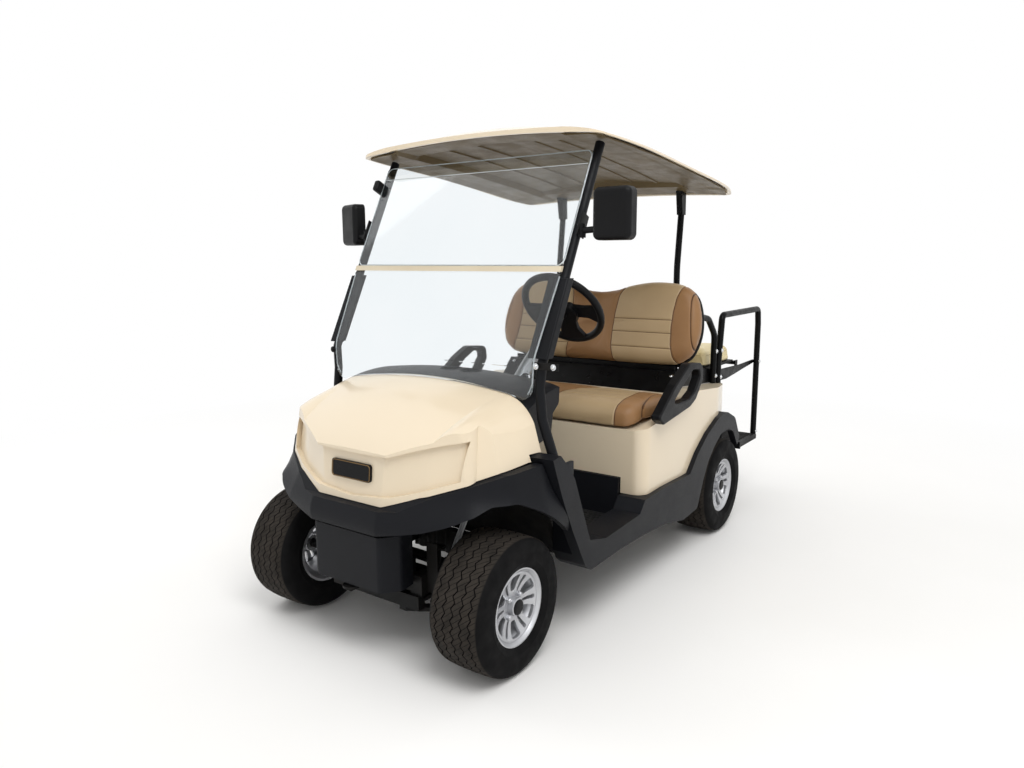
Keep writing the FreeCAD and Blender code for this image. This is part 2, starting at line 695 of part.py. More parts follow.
def strut_sleeves():
    """Clamping sleeves that hold the windscreen to the lower part of each front post."""
    sleeve = leaned(prism("z", 1004, 1262, [(468, -22, 8), (520, -22, 8), (520, 22, 8), (468, 22, 8)]))
    lug = leaned(box(446, 470, -22, -14, 1004, 1262))
    return pair(fused([sleeve, lug]).cut(tube(FRONT_STRUT, STRUT_R + 0.3, 30)))


def rear_struts():
    post = tube([(333, 1632, 764), (333, 1626, 1280), (333, 1660, 1560)], 15, 500)
    foot = prism("x", 313, 353, [(1600, 721.3), (1664, 716.1), (1664, 766), (1600, 770)])
    top = [(y, lining_at(333, y, LINING_FLAT) - 1) for y in (1674, 1622)]
    head = prism("x", 318, 348, [(1640, 1530), (1676, 1530)] + top)
    return pair(fused([post, foot, head]))


# Columns: y, half width, underside z, its arch, top z at the middle, rim height, shoulder width, shoulder height
ROOF_SECTIONS = (
    (440, 558, 1743, 28, 1786, 6, 140, 24),
    (520, 572, 1736, 32, 1808, 6, 145, 34),
    (900, 588, 1706, 32, 1836, 7, 150, 60),
    (1300, 598, 1663, 32, 1800, 7, 150, 58),
    (1560, 598, 1631, 28, 1748, 7, 140, 46),
    (1700, 556, 1612, 18, 1668, 6, 110, 24),
)
ROOF_HALF, ROOF_LOW, ROOF_ARCH = 1, 2, 3
ROOF_WALL = 10.0
# Half plan that rounds the roof's corners and clears its sides: x, y, radius
ROOF_CORNERS = ((562, 439, 60), (580, 520, 0), (600, 900, 0), (610, 1300, 0), (608, 1590, 0), (570, 1701, 90))


def roof_wire(y, half, low, arch, top, rim_height, shoulder_in, shoulder_up, inset=0.0):
    """Section across the roof: thin rim, broad shoulders and a shallow crown over an arched underside."""
    half, top, base, edge = half - inset, top - inset, low - 2 * inset, low + rim_height - inset / 2
    shoulder_x, shoulder_z = half - shoulder_in, edge + shoulder_up - inset / 2
    bulge_x, bulge_z = half - 0.42 * shoulder_in, edge + 0.54 * (shoulder_z - edge)
    right = [V(half, y, edge), V(bulge_x, y, bulge_z), V(shoulder_x, y, shoulder_z)]
    left = [V(-p.x, p.y, p.z) for p in right]
    foot, left_foot = V(half, y, base), V(-half, y, base)
    edges = [
        Part.Arc(*left).toShape(),
        Part.Arc(left[2], V(0, y, top), right[2]).toShape(),
        Part.Arc(*reversed(right)).toShape(),
        Part.LineSegment(right[0], foot).toShape(),
        Part.Arc(foot, V(0, y, base + arch), left_foot).toShape(),
        Part.LineSegment(left_foot, left[0]).toShape(),
    ]
    return Part.Wire(edges)


def roof_plan(inset):
    corners = [(x - inset, y + math.copysign(inset, 1000 - y), radius) for x, y, radius in ROOF_CORNERS]
    return prism("z", 1500, 1950, both_sides(corners))


def canopy():
    """Moulded roof, open below, its thin rim turned down all round."""
    outer = loft([roof_wire(*row) for row in ROOF_SECTIONS]).common(roof_plan(0))
    first, last = ROOF_SECTIONS[0][0] + 12, ROOF_SECTIONS[-1][0] - 12
    inner = [roof_wire(min(max(y, first), last), *row, inset=ROOF_WALL) for y, *row in ROOF_SECTIONS]
    return outer.cut(loft(inner).common(roof_plan(12)))


# Half sections of the roof's lining: x, height over the rim's foot. None stands for its outer edge
LINING_FLAT = ((0, 6), (388, 4), (410, 8), (498, 4), (512, 2), (None, -4))
LINING_RECESS = ((0, 38), (388, 16), (410, 10), (498, 6), (512, 7), (None, -3))
LINING_STEPS = (
    (470, LINING_FLAT), (590, LINING_FLAT), (614, LINING_RECESS), (900, LINING_RECESS),
    (1300, LINING_RECESS), (1536, LINING_RECESS), (1560, LINING_FLAT), (1674, LINING_FLAT))
LINING_THICK = 5.0
LINING_MIDDLE = 388.0
RIB_X = (130.0, 262.0)


def roof_at(y, column):
    """One of the roof table's columns, in straight runs between its rows."""
    for before, after in zip(ROOF_SECTIONS, ROOF_SECTIONS[1:]):
        if y <= after[0]:
            return before[column] + (after[column] - before[column]) * (y - before[0]) / (after[0] - before[0])
    return ROOF_SECTIONS[-1][column]


def lining_low(x, y, rise):
    """Height of the lining's underside, whose middle follows the roof's arch."""
    arch = roof_at(y, ROOF_ARCH) * (1 - (x / roof_at(y, ROOF_HALF)) ** 2) if abs(x) <= LINING_MIDDLE else 0.0
    return roof_at(y, ROOF_LOW) + arch + rise


def lining_at(x, y, half):
    """Height of the lining's underside between its middle line and its side beams."""
    middle, side = (lining_low(reach, y, rise) for reach, rise in half[:2])
    return middle + (side - middle) * x / LINING_MIDDLE


def lining_wire(y, half):
    edge = roof_at(y, ROOF_HALF) - ROOF_WALL - 8
    under = [(edge if x is None else x, lining_low(edge if x is None else x, y, rise)) for x, rise in half]
    whole = [(-x, z) for x, z in reversed(under[1:])] + under
    upper = [(x, z + LINING_THICK) for x, z in reversed(whole)]
    return outline("y", y, whole + upper)


def roof_lining():
    """Inner skin of the roof: a recessed ceiling with ribs between flat side and end beams."""
    skin = loft([lining_wire(y, half) for y, half in LINING_STEPS], True)
    ribs = []
    for x in RIB_X:
        wires = []
        for y in (624, 900, 1300, 1526):
            z = lining_at(x, y, LINING_RECESS)
            wires.append(outline("y", y, [(x - 9, z + 3), (x - 5, z - 5), (x + 5, z - 5), (x + 9, z + 3)]))
        ribs.append(loft(wires, True))
    return fused([skin] + ribs + [mirrored(rib) for rib in ribs]).common(roof_plan(15))


def leaned(shape):
    """Lean an upright shape back onto the windscreen's plane."""
    matrix = FreeCAD.Matrix()
    matrix.A23 = SCREEN_SLOPE
    matrix.A24 = SCREEN_Y - SCREEN_SLOPE * SCREEN_Z
    return shape.transformGeometry(matrix)


SCREEN_FRONT = -31.0
SCREEN_BACK = -25.0
# Height at which the lower pane bends down to follow the posts
PANE_BEND = 1000.0


def windshield():
    """Two clear panes ahead of the struts; the lower one turns down with them to the hood's crown."""
    def lean(z, depth):
        return SCREEN_Y + SCREEN_SLOPE * (z - SCREEN_Z) + depth

    side = [(lean(z, depth), z, radius) for z, depth, radius in (
        (1283, SCREEN_FRONT, 0), (PANE_BEND, SCREEN_FRONT, 120), (PANE_BEND, SCREEN_BACK, 114), (1283, SCREEN_BACK, 0))]
    side[2:2] = [(side[1][0], 850, 0), (side[2][0], 850, 0)]
    sheet = prism("x", -500, 500, side)
    shape = prism("y", 0, 500, [(-468, 862, 50), (468, 862, 50), (492, 1283, 12), (-492, 1283, 12)])
    lower = sheet.common(shape).cut(dome(-4.0))
    upper = prism("y", SCREEN_FRONT, SCREEN_BACK, [(-492, 1303, 40), (492, 1303, 40), (492, 1700, 12), (-492, 1700, 12)])
    return group([lower, leaned(upper)])


def windshield_hinge():
    """Beige fold strip between the panes."""
    return leaned(box(-492, 492, SCREEN_FRONT - 5, SCREEN_BACK + 2, 1283.5, 1302.5))


# Columns: side, yaw in degrees, place of the housing's inner front edge
MIRRORS = ((1, 0.0, V(578, 392, 1386)), (-1, 20.0, V(577.6, 430, 1386)))
MIRROR_WIDE = 140.0
MIRROR_TALL = 172.0


def mirror_parts():
    """Housings with their arms, and the glasses that sit in them."""
    shells, glasses = [], []
    for side, yaw, corner in MIRRORS:
        rounded = [(0, 0, 22), (MIRROR_WIDE, 0, 22), (MIRROR_WIDE, MIRROR_TALL, 22), (0, MIRROR_TALL, 22)]
        inside = [(8, 8, 16), (MIRROR_WIDE - 8, 8, 16), (MIRROR_WIDE - 8, MIRROR_TALL - 8, 16),
                  (8, MIRROR_TALL - 8, 16)]
        glass_edge = [(9, 9, 15), (MIRROR_WIDE - 9, 9, 15), (MIRROR_WIDE - 9, MIRROR_TALL - 9, 15),
                      (9, MIRROR_TALL - 9, 15)]
        housing = softened(prism("y", -26, 26, rounded), 18, "y", -26).cut(prism("y", 20, 40, inside))
        glass = prism("y", 20.5, 24, glass_edge)
        for solid, kept in ((housing, shells), (glass, glasses)):
            solid.rotate(V(0, 0, 0), V(0, 0, 1), yaw)
            solid.translate(corner)
            kept.append(solid)
        root = V(511, 412, 1420)
        arm = tube([(root.x, root.y, root.z), (corner.x + 12, corner.y + 6, 1424)], 11)
        clamp = cylinder("z", (root.x + 4, root.y, 1420), 15, 46).cut(strut_channel())
        shells[-1] = fused([housing, arm, clamp]).cut(strut_channel())
        if side < 0:
            shells[-1], glasses[-1] = mirrored(shells[-1]), mirrored(glasses[-1])
    shells = [max(shell.Solids, key=lambda one: one.Volume) for shell in shells]
    return group(shells), group(glasses)


# Rear-facing seat kit
HOOP_X = 480.0
TUBE_R = 16.0
FLIP_Y = 2166.0
FLIP_Z = 772.0


def rear_seat_frame():
    """Grab hoops with their posts, and the bars that carry the rear seat."""
    hoop = tube([(HOOP_X, 1829, 704), (HOOP_X, 1829, 801), (HOOP_X, 1862, 1042), (HOOP_X, 2410, 1043),
                 (HOOP_X, REAR_END - TUBE_R, 960), (HOOP_X, REAR_END - TUBE_R, 322)], TUBE_R, 30)
    bar = prism("x", HOOP_X - TUBE_R - 8.2, HOOP_X - TUBE_R - 2.2, [
        (1803, 707), (2000, 700), (2129, 711), (2240, 722), (2422, 738), (2422, 756), (2200, 752), (1803, 764)])
    stud = cylinder("x", (HOOP_X - TUBE_R, 2425, 747), 8, 16)
    low_stud = cylinder("x", (HOOP_X - TUBE_R, 1829, 735), 8, 16)
    return pair(fused([hoop, bar, stud, low_stud]))


def seat_hinge_bar():
    """Cross tubes between the bars: the front one carries the seat, the rear one is its hinge pin."""
    reach = HOOP_X - TUBE_R - 8.4
    rear = cylinder("x", (0, FLIP_Y, FLIP_Z - 6), 11, 2 * reach)
    front = cylinder("x", (0, 1850, 745), 11, 2 * 448.8)
    brackets = [box(side * (reach - 3) - 3, side * (reach - 3) + 3, FLIP_Y - 16, FLIP_Y + 16, 735, 780)
                for side in (-1, 1)]
    return group([fused([rear] + brackets), front])


BACK_TUBE_X = 471.0


def rear_back_tubes():
    tubes = tube([
        (BACK_TUBE_X, 1560, 1056), (BACK_TUBE_X, 1700, 1034), (BACK_TUBE_X, 1788, 950), (BACK_TUBE_X, 1786, 708.5)],
        15, 60)
    upper = cylinder("x", (0, 1600, 1044), 9, 2 * BACK_TUBE_X - 20)
    return fused([tubes, mirrored(tubes), upper])


def footrest():
    """Ribbed step on arms that reach back from the frame."""
    plate = box(-500, 500, 2160, 2400, 322, 334)
    lip = box(-500, 500, 2148, 2160, 296, 334)
    arm = tube([(330, 1990, 250), (330, 2200, 309.3)], 12)
    bars = [box(side * HOOP_X - 14, side * HOOP_X + 14, 2160, REAR_END, 299.8, 321.8) for side in (-1, 1)]
    step = fused([plate, lip, arm, mirrored(arm)] + bars)
    return step


def rear_seat_back():
    side = [(1668, 850, 20), (1752, 850, 30), (1738, 1140, 36), (1660, 1150, 30)]
    return prism("x", -440, 440, side)


def rear_deck():
    """Hinged seat board; turned over it becomes the end of the cargo bed."""
    board = box(-440, 440, 1780, 2150, FLIP_Z, FLIP_Z + 12)
    eyes = []
    for x in (-300, 300):
        lug = fused([cylinder("x", (x, FLIP_Y, FLIP_Z - 6), 18, 36),
                     box(x - 18, x + 18, 2130, FLIP_Y, FLIP_Z - 6, FLIP_Z + 12)])
        eyes.append(lug.cut(cylinder("x", (x, FLIP_Y, FLIP_Z - 6), 11 + RUNNING_GAP, 60)))
    return fused([board] + eyes)


def rear_seat_cushion():
    return prism("x", -436, 436, [
        (1784, FLIP_Z + 14, 10), (2146, FLIP_Z + 14, 10), (2146, 872, 30), (1784, 872, 30)])


def solids():
    """Every node's name and its shape, still measured back from the front axle."""
    front, rear = FRONT_TRACK / 2, REAR_TRACK / 2
    shells, glasses = mirror_parts()
    nodes = {
        "main_frame": main_frame(),
        "cross_members": cross_members(),
        "front_suspension": front_suspension(),
        "knuckle_left": knuckle(),
        "knuckle_right": mirrored(knuckle()),
        "steering_rack": steering_rack(),
        "rear_axle": rear_axle(),
        "rear_springs": rear_springs(),
        "drive_motor": drive_motor(),
        "battery_block": battery_block(),
        "front_cowl": front_cowl(),
        "front_bumper": front_bumper(),
        "front_skirt": front_skirt(),
        "tow_eye": tow_eye(),
        "badge_plate": badge_plate(),
        "dash": dash(),
        "steering_column": steering_column(),
        "steering_wheel": steering_wheel(),
        "floor_pan": floor_pan(),
        "kick_panel": kick_panel(),
        "pedals": pedals(),
        "rockers": rockers(),
        "rear_body": rear_body(),
        "rear_valance": rear_valance(),
        "seat_cushion": seat_cushion(),
        "seat_back": seat_back(),
        "seat_back_shell": seat_back_shell(),
        "rear_seat_base": rear_seat_base(),
        "armrests": armrests(),
        "front_struts": front_struts(),
        "strut_sleeves": strut_sleeves(),
        "rear_struts": rear_struts(),
        "canopy": canopy(),
        "roof_lining": roof_lining(),
        "windshield": windshield(),
        "windshield_hinge": windshield_hinge(),
        "mirrors": shells,
        "mirror_glasses": glasses,
        "rear_seat_frame": rear_seat_frame(),
        "seat_hinge_bar": seat_hinge_bar(),
        "rear_back_tubes": rear_back_tubes(),
        "footrest": footrest(),
        "rear_seat_back": rear_seat_back(),
        "rear_deck": rear_deck(),
        "rear_seat_cushion": rear_seat_cushion(),
    }
    for name, x, y in (("front_left", front, 0), ("front_right", -front, 0),
                       ("rear_left", rear, WHEELBASE), ("rear_right", -rear, WHEELBASE)):
        nodes["tyre_" + name] = tyre(x, y)
        nodes["rim_" + name] = rim(x, y, 1 if x > 0 else -1)
    return nodes


def main():
    os.makedirs("parts", exist_ok=True)
    for name, shape in solids().items():
        shape.translate(V(0, -ORIGIN_Y, 0))
        shape.exportStep("parts/" + name + ".step")


main()
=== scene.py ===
import bmesh
import bpy
import json
import math
from mathutils import Matrix, Vector
from mathutils.bvhtree import BVHTree

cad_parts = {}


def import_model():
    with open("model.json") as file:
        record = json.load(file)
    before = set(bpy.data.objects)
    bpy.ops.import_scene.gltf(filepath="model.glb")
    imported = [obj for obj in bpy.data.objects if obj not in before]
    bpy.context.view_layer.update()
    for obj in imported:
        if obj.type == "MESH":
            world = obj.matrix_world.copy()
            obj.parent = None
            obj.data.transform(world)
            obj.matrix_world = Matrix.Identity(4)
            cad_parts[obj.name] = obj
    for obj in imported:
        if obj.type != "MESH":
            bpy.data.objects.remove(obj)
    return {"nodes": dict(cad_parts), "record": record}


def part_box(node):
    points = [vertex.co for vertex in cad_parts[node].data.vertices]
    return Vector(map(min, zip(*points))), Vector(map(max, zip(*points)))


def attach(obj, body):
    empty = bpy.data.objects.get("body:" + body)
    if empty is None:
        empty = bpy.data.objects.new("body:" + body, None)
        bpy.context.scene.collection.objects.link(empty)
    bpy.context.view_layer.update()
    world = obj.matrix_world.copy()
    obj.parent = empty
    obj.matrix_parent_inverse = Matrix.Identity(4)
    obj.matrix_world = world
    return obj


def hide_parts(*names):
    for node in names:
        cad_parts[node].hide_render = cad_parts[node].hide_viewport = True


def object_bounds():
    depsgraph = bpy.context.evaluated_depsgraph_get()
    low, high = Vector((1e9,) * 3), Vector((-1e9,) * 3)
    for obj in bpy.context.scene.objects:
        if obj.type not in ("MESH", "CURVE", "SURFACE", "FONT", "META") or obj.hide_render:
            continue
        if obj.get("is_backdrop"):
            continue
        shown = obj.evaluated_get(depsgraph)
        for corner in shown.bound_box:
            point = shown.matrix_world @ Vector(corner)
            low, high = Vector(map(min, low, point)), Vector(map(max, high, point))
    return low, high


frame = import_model()
CAD_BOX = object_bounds()
NODES = frame["nodes"]
SCENE = bpy.context.scene
MM = 0.001

# Camera in the frame's metres, and the photograph's lens
CAMERA_AT = Vector((1.8693, -2.9780, 1.3303))
CAMERA_TARGET = Vector((-0.057, -0.2962, 0.788))
CAMERA_ROLL = -0.005
CAMERA_LENS = 26.994

# Measured from the front axle, as the cart is drawn: X left, Y back, Z up, in millimetres
AXLE = (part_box("rim_front_left")[0].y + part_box("rim_front_left")[1].y) / 2
WHEELS = ("front_left", "front_right", "rear_left", "rear_right")
TYRE_R = 228.6
BACK_LEAN = math.radians(16)
BACK_FOOT = (1330.0, 846.0)
LEFT, FRONT, BACK, DOWN = Vector((1, 0, 0)), Vector((0, -1, 0)), Vector((0, 1, 0)), Vector((0, 0, -1))
BOTH = (-1, 1)
CHANNEL_NAMES = ("channel_0", "channel_1", "channel_2")


def at(x, y, z):
    """Point in the frame from millimetres behind the front axle."""
    return Vector((x * MM, y * MM + AXLE, z * MM))


def on_back(x, depth, up):
    """Point on the leaning seat back: x, depth behind its front plane, height above its foot."""
    y = depth * math.cos(BACK_LEAN) + up * math.sin(BACK_LEAN)
    z = up * math.cos(BACK_LEAN) - depth * math.sin(BACK_LEAN)
    return at(x, BACK_FOOT[0] + y, BACK_FOOT[1] + z)


def back_place(point):
    """x, depth and height on the seat back of a point in the frame."""
    y = (point.y - AXLE) / MM - BACK_FOOT[0]
    z = point.z / MM - BACK_FOOT[1]
    depth = y * math.cos(BACK_LEAN) - z * math.sin(BACK_LEAN)
    return point.x / MM, depth, y * math.sin(BACK_LEAN) + z * math.cos(BACK_LEAN)


# Materials
def srgb(colour):
    """Linear colour from screen values of 0 to 255."""
    shares = [value / 255 for value in colour]
    return [s / 12.92 if s < 0.04 else ((s + 0.055) / 1.055) ** 2.4 for s in shares] + [1.0]


# Sockets of a colour mix: amount, colour under, colour over, and the result
MIX_AMOUNT, MIX_UNDER, MIX_OVER, MIX_RESULT = 0, 6, 7, 2


class Nodes:
    """Short ways to add and join the nodes of a tree."""

    def __init__(self, tree):
        self.tree = tree

    def add(self, kind, **settings):
        node = self.tree.nodes.new(kind)
        for key, value in settings.items():
            setattr(node, key, value)
        return node

    def link(self, source, target):
        self.tree.links.new(source, target)

    def math(self, operation, first, second=None):
        node = self.add("ShaderNodeMath", operation=operation)
        for socket, value in zip(node.inputs, (first, second)):
            if isinstance(value, (int, float)):
                socket.default_value = value
            elif value is not None:
                self.link(value, socket)
        return node.outputs[0]

    def range(self, source, low, high, to_low, to_high):
        node = self.add("ShaderNodeMapRange")
        self.link(source, node.inputs["Value"])
        for socket, value in zip(("From Min", "From Max", "To Min", "To Max"), (low, high, to_low, to_high)):
            node.inputs[socket].default_value = value
        return node.outputs[0]

    def split(self, vector):
        """A vector's parts, named X, Y and Z."""
        node = self.add("ShaderNodeSeparateXYZ")
        self.link(vector, node.inputs[0])
        return node.outputs

    def plainly_seen(self):
        """1 for rays from the camera, off a shiny surface or through glass."""
        path = self.add("ShaderNodeLightPath").outputs
        seen = self.math("MAXIMUM", path["Is Camera Ray"], path["Is Glossy Ray"])
        return self.math("MAXIMUM", seen, path["Is Transmission Ray"])


class Finish(Nodes):
    """A surface's nodes: one principled shader fed by textures in the object's own coordinates."""

    def __init__(self, name, rough, metal=0.0, **shader):
        self.material = bpy.data.materials.new(name)
        self.material.use_nodes = True
        super().__init__(self.material.node_tree)
        self.shader = self.tree.nodes["Principled BSDF"]
        self.shader.inputs["Roughness"].default_value = rough
        self.shader.inputs["Metallic"].default_value = metal
        for socket, value in shader.items():
            self.shader.inputs[socket.replace("_", " ").title().replace("Ior", "IOR")].default_value = value
        self.where = self.add("ShaderNodeTexCoord").outputs["Object"]

    def noise(self, scale, detail=3.0):
        texture = self.add("ShaderNodeTexNoise")
        texture.inputs["Scale"].default_value = scale
        texture.inputs["Detail"].default_value = detail
        self.link(self.where, texture.inputs["Vector"])
        return texture.outputs["Fac"]

    def cells(self, scale):
        texture = self.add("ShaderNodeTexVoronoi")
        texture.inputs["Scale"].default_value = scale
        self.link(self.where, texture.inputs["Vector"])
        return texture.outputs["Distance"]

    def attribute(self, label, output="Fac"):
        return self.add("ShaderNodeAttribute", attribute_name=label).outputs[output]

    def paint(self, colour, amount=None):
        """Set the colour, or lay it over what is there where the amount is 1."""
        base = self.shader.inputs["Base Color"]
        if amount is None:
            base.default_value = srgb(colour)
            return self
        mix = self.add("ShaderNodeMix", data_type="RGBA")
        if base.is_linked:
            self.link(base.links[0].from_socket, mix.inputs[MIX_UNDER])
        else:
            mix.inputs[MIX_UNDER].default_value = base.default_value
        mix.inputs[MIX_OVER].default_value = srgb(colour)
        self.link(amount, mix.inputs[MIX_AMOUNT])
        self.link(mix.outputs[MIX_RESULT], base)
        return self

    def mottle(self, colour, scale, amount=0.6, detail=4.0):
        """Uneven patches of a second colour."""
        return self.paint(colour, self.range(self.noise(scale, detail), 0.35, 0.7, 0.0, amount))

    def uneven(self, low, high, scale):
        """Roughness that varies between two values."""
        self.link(self.range(self.noise(scale, 5.0), 0.3, 0.7, low, high), self.shader.inputs["Roughness"])
        return self

    def bump(self, height, depth, strength=0.6):
        """Raise the surface by a texture; depth is in metres."""
        node = self.add("ShaderNodeBump")
        node.inputs["Strength"].default_value = strength
        node.inputs["Distance"].default_value = depth
        self.link(height, node.inputs["Height"])
        normal = self.shader.inputs["Normal"]
        if normal.is_linked:
            self.link(normal.links[0].from_socket, node.inputs["Normal"])
        self.link(node.outputs[0], normal)
        return self


def gloss_paint(name, colour, shade):
    finish = Finish(name, 0.32, coat_weight=0.6, coat_roughness=0.1)
    finish.paint(colour).mottle(shade, 1.4, 0.35).uneven(0.28, 0.36, 6.0)
    return finish.bump(finish.noise(420.0, 2.0), 0.0004, 0.12)


def grained(name, colour, shade, rough=0.5, grain=750.0, depth=0.0006, shine=0.13, wear=0.1):
    finish = Finish(name, rough, specular_ior_level=shine)
    finish.paint(colour).mottle(shade, 5.0, 0.7).uneven(rough - wear, rough + wear, 14.0)
    finish.bump(finish.cells(grain), depth, 0.35)
    return finish.bump(finish.noise(60.0, 4.0), 0.0004, 0.15)


def painted(name, colour, shade, rough=0.38, shine=0.11):
    finish = Finish(name, rough, specular_ior_level=shine)
    finish.paint(colour).mottle(shade, 7.0, 0.7).uneven(rough - 0.1, rough + 0.15, 22.0)
    return finish.bump(finish.noise(330.0, 3.0), 0.0005, 0.25)


def bare_metal(name, colour, shade, rough=0.3, metal=1.0):
    finish = Finish(name, rough, metal)
    finish.paint(colour).mottle(shade, 12.0, 0.7).uneven(rough - 0.08, rough + 0.14, 30.0)
    return finish.bump(finish.noise(260.0, 4.0), 0.0003, 0.2)


def rubber(name, colour, dust, rough=0.7):
    finish = Finish(name, rough, specular_ior_level=0.2)
    finish.paint(colour).mottle(dust, 16.0, 0.6, 6.0).uneven(rough - 0.15, rough + 0.15, 25.0)
    return finish.bump(finish.noise(500.0, 4.0), 0.0006, 0.3)


# Thin slanted cuts in the tread: how many go round it, and turns of them for each millimetre across
SIPES = 76
SIPE_SLANT = -0.04


def tyre_rubber(name):
    """Black sidewalls, and a cut tread worn brown with dust where it faces outwards."""
    finish = Finish(name, 0.75, specular_ior_level=0.08)
    finish.paint((15, 15, 16)).mottle((25, 24, 24), 20.0, 0.6, 6.0)
    facing = finish.split(finish.add("ShaderNodeTexCoord").outputs["Normal"])
    tread = finish.range(finish.math("ABSOLUTE", facing["X"]), 0.3, 0.5, 1.0, 0.0)
    dust = finish.range(finish.noise(24.0, 6.0), 0.4, 0.65, 0.0, 0.8)
    finish.paint((60, 55, 50), finish.math("MULTIPLY", tread, 0.8))
    finish.paint((42, 39, 36), finish.math("MULTIPLY", tread, dust))
    spot = finish.split(finish.attribute("from_hub", "Vector"))
    around = finish.math("ARCTAN2", spot["Y"], spot["Z"])
    turns = finish.math("ADD", finish.math("MULTIPLY", around, SIPES / math.tau),
                        finish.math("MULTIPLY", spot["X"], SIPE_SLANT))
    apart = finish.math("ABSOLUTE", finish.math("SUBTRACT", finish.math("FRACT", turns), 0.5))
    sipes = finish.math("MULTIPLY", tread, finish.range(apart, 0.03, 0.07, 1.0, 0.0))
    # The cuts are painted dark: partly the black rubber inside them, partly painted shade for the shade in
    # the thin slits
    finish.paint((14, 13, 13), sipes)
    finish.uneven(0.62, 0.88, 25.0)
    finish.bump(finish.math("SUBTRACT", 1.0, sipes), 0.003, 0.6)
    return finish.bump(finish.noise(500.0, 4.0), 0.0006, 0.3)


def vinyl(name, colour, shade):
    """Seat cover with a fine leather grain and soft creases."""
    finish = Finish(name, 0.42, coat_weight=0.08, coat_roughness=0.3, specular_ior_level=0.25)
    finish.paint(colour).mottle(shade, 6.0, 0.5).uneven(0.36, 0.5, 18.0)
    finish.bump(finish.cells(480.0), 0.0007, 0.3)
    return finish.bump(finish.noise(22.0, 3.0), 0.004, 0.12)


# Half widths of the dark lines along the seams, in millimetres
SEAM_LINE, CHANNEL_LINE = 1.6, 1.2


def zoned_vinyl(name, caramel, tan, thread):
    """Two-tone cover: the pads carry how far each point is from the seams, in millimetres."""
    finish = vinyl(name, *caramel)

    def near(label, half):
        apart = finish.math("ABSOLUTE", finish.attribute(label))
        return finish.range(apart, half - 0.5, half + 0.5, 1.0, 0.0)

    inside = finish.range(finish.attribute("insert"), -0.4, 0.4, 0.0, 1.0)
    patches = finish.range(finish.noise(5.0, 4.0), 0.35, 0.7, 0.0, 0.6)
    finish.paint(tan[0], inside).paint(tan[1], finish.math("MULTIPLY", inside, patches))
    seams = finish.math("MAXIMUM", near("insert", SEAM_LINE), near("bolster", SEAM_LINE))
    for label in CHANNEL_NAMES:
        across = finish.math("MULTIPLY", near(label, CHANNEL_LINE), inside)
        seams = finish.math("MAXIMUM", seams, across)
    in_front = finish.range(finish.attribute("plain"), -4.0, 4.0, 1.0, 0.0)
    return finish.paint(thread, finish.math("MULTIPLY", seams, in_front))


def clear_pane(name):
    finish = Finish(name, 0.03, transmission_weight=1.0, ior=1.45)
    finish.paint((244, 248, 250)).mottle((236, 243, 246), 1.5, 0.5)
    return finish.bump(finish.noise(3.0, 1.0), 0.002, 0.03)


def pane_edge(name):
    """Polished edge of a clear sheet; its pale colour is a painted highlight for the light that the edge
    gathers.
    """
    finish = Finish(name, 0.2, transmission_weight=0.35, ior=1.45)
    return finish.paint((232, 238, 240)).mottle((206, 214, 218), 9.0, 0.6)


def mirror_silver(name):
    finish = Finish(name, 0.04, 1.0)
    return finish.paint((228, 232, 235)).mottle((214, 220, 224), 3.0, 0.5)


# Caramel and tan of the two-tone covers: colour, shade
CARAMEL, TAN = ((148, 111, 74), (132, 97, 63)), ((176, 152, 117), (163, 139, 105))
# Finishes, each for a slot or only for this script: name, maker, what it takes after the name
FINISHES = (
    ("frame_steel", painted, (17, 18, 19), (34, 32, 30)),
    ("bright_steel", bare_metal, (150, 152, 154), (104, 102, 99)),
    ("cast_dark", grained, (34, 34, 34), (56, 53, 49), 0.65, 300.0, 0.0012),
    ("battery_plastic", grained, (24, 26, 29), (36, 38, 42)),
    ("body_cream", gloss_paint, (229, 213, 186), (225, 206, 177)),
    # The lining's colour, darker and browner than the body's cream, is painted shade for the roof's shaded
    # underside
    ("lining_taupe", grained, (106, 92, 67), (96, 83, 60), 0.42, 600.0, 0.0006, 0.15),
    ("trim_charcoal", grained, (22, 23, 27), (20, 21, 24), 0.42, 750.0, 0.0006, 0.13, 0.03),
    ("post_charcoal", painted, (24, 25, 28), (18, 19, 21), 0.4),
    ("badge_dark", grained, (14, 14, 15), (20, 20, 22), 0.3),
    ("badge_bronze", bare_metal, (128, 104, 72), (98, 78, 52), 0.35),
    ("grip_black", grained, (17, 17, 18), (23, 23, 25), 0.4, 900.0, 0.0005),
    ("floor_rubber", rubber, (20, 20, 21), (38, 36, 33), 0.5),
    ("seat_tan", zoned_vinyl, CARAMEL, TAN, (62, 38, 22)),
    ("seat_piping", vinyl, (96, 64, 38), (82, 53, 31)),
    ("seat_cream", vinyl, (226, 210, 166), (216, 198, 150)),
    ("cream_piping", vinyl, (202, 184, 138), (190, 172, 126)),
    ("coated_black", painted, (8, 8, 9), (15, 15, 15), 0.34),
    ("step_black", grained, (16, 16, 18), (32, 30, 28), 0.5, 240.0, 0.0012),
    ("clear_pane", clear_pane),
    ("pane_edge", pane_edge),
    ("hinge_beige", grained, (214, 202, 178), (200, 186, 160), 0.4),
    ("mirror_silver", mirror_silver),
    ("tyre", tyre_rubber),
    ("wheel_alloy", bare_metal, (196, 197, 200), (176, 177, 181), 0.4, 0.85),
    ("chrome", bare_metal, (226, 228, 230), (200, 202, 205), 0.14),
)
FINISH = {name: maker(name, *given).material for name, maker, *given in FINISHES}
NODE_FINISH = {"front_struts": "post_charcoal", "strut_sleeves": "post_charcoal"}


def dress_nodes():
    """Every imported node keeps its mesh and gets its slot's finish."""
    for entry in frame["record"]["subparts"]:
        name = entry["node"]
        finish = FINISH[NODE_FINISH.get(name, entry["material_slot"])]
        for slot in NODES[name].material_slots:
            slot.material = finish


# Shapes
def placed(name, data):
    """New object in the scene."""
    obj = bpy.data.objects.new(name, data)
    SCENE.collection.objects.link(obj)
    return obj


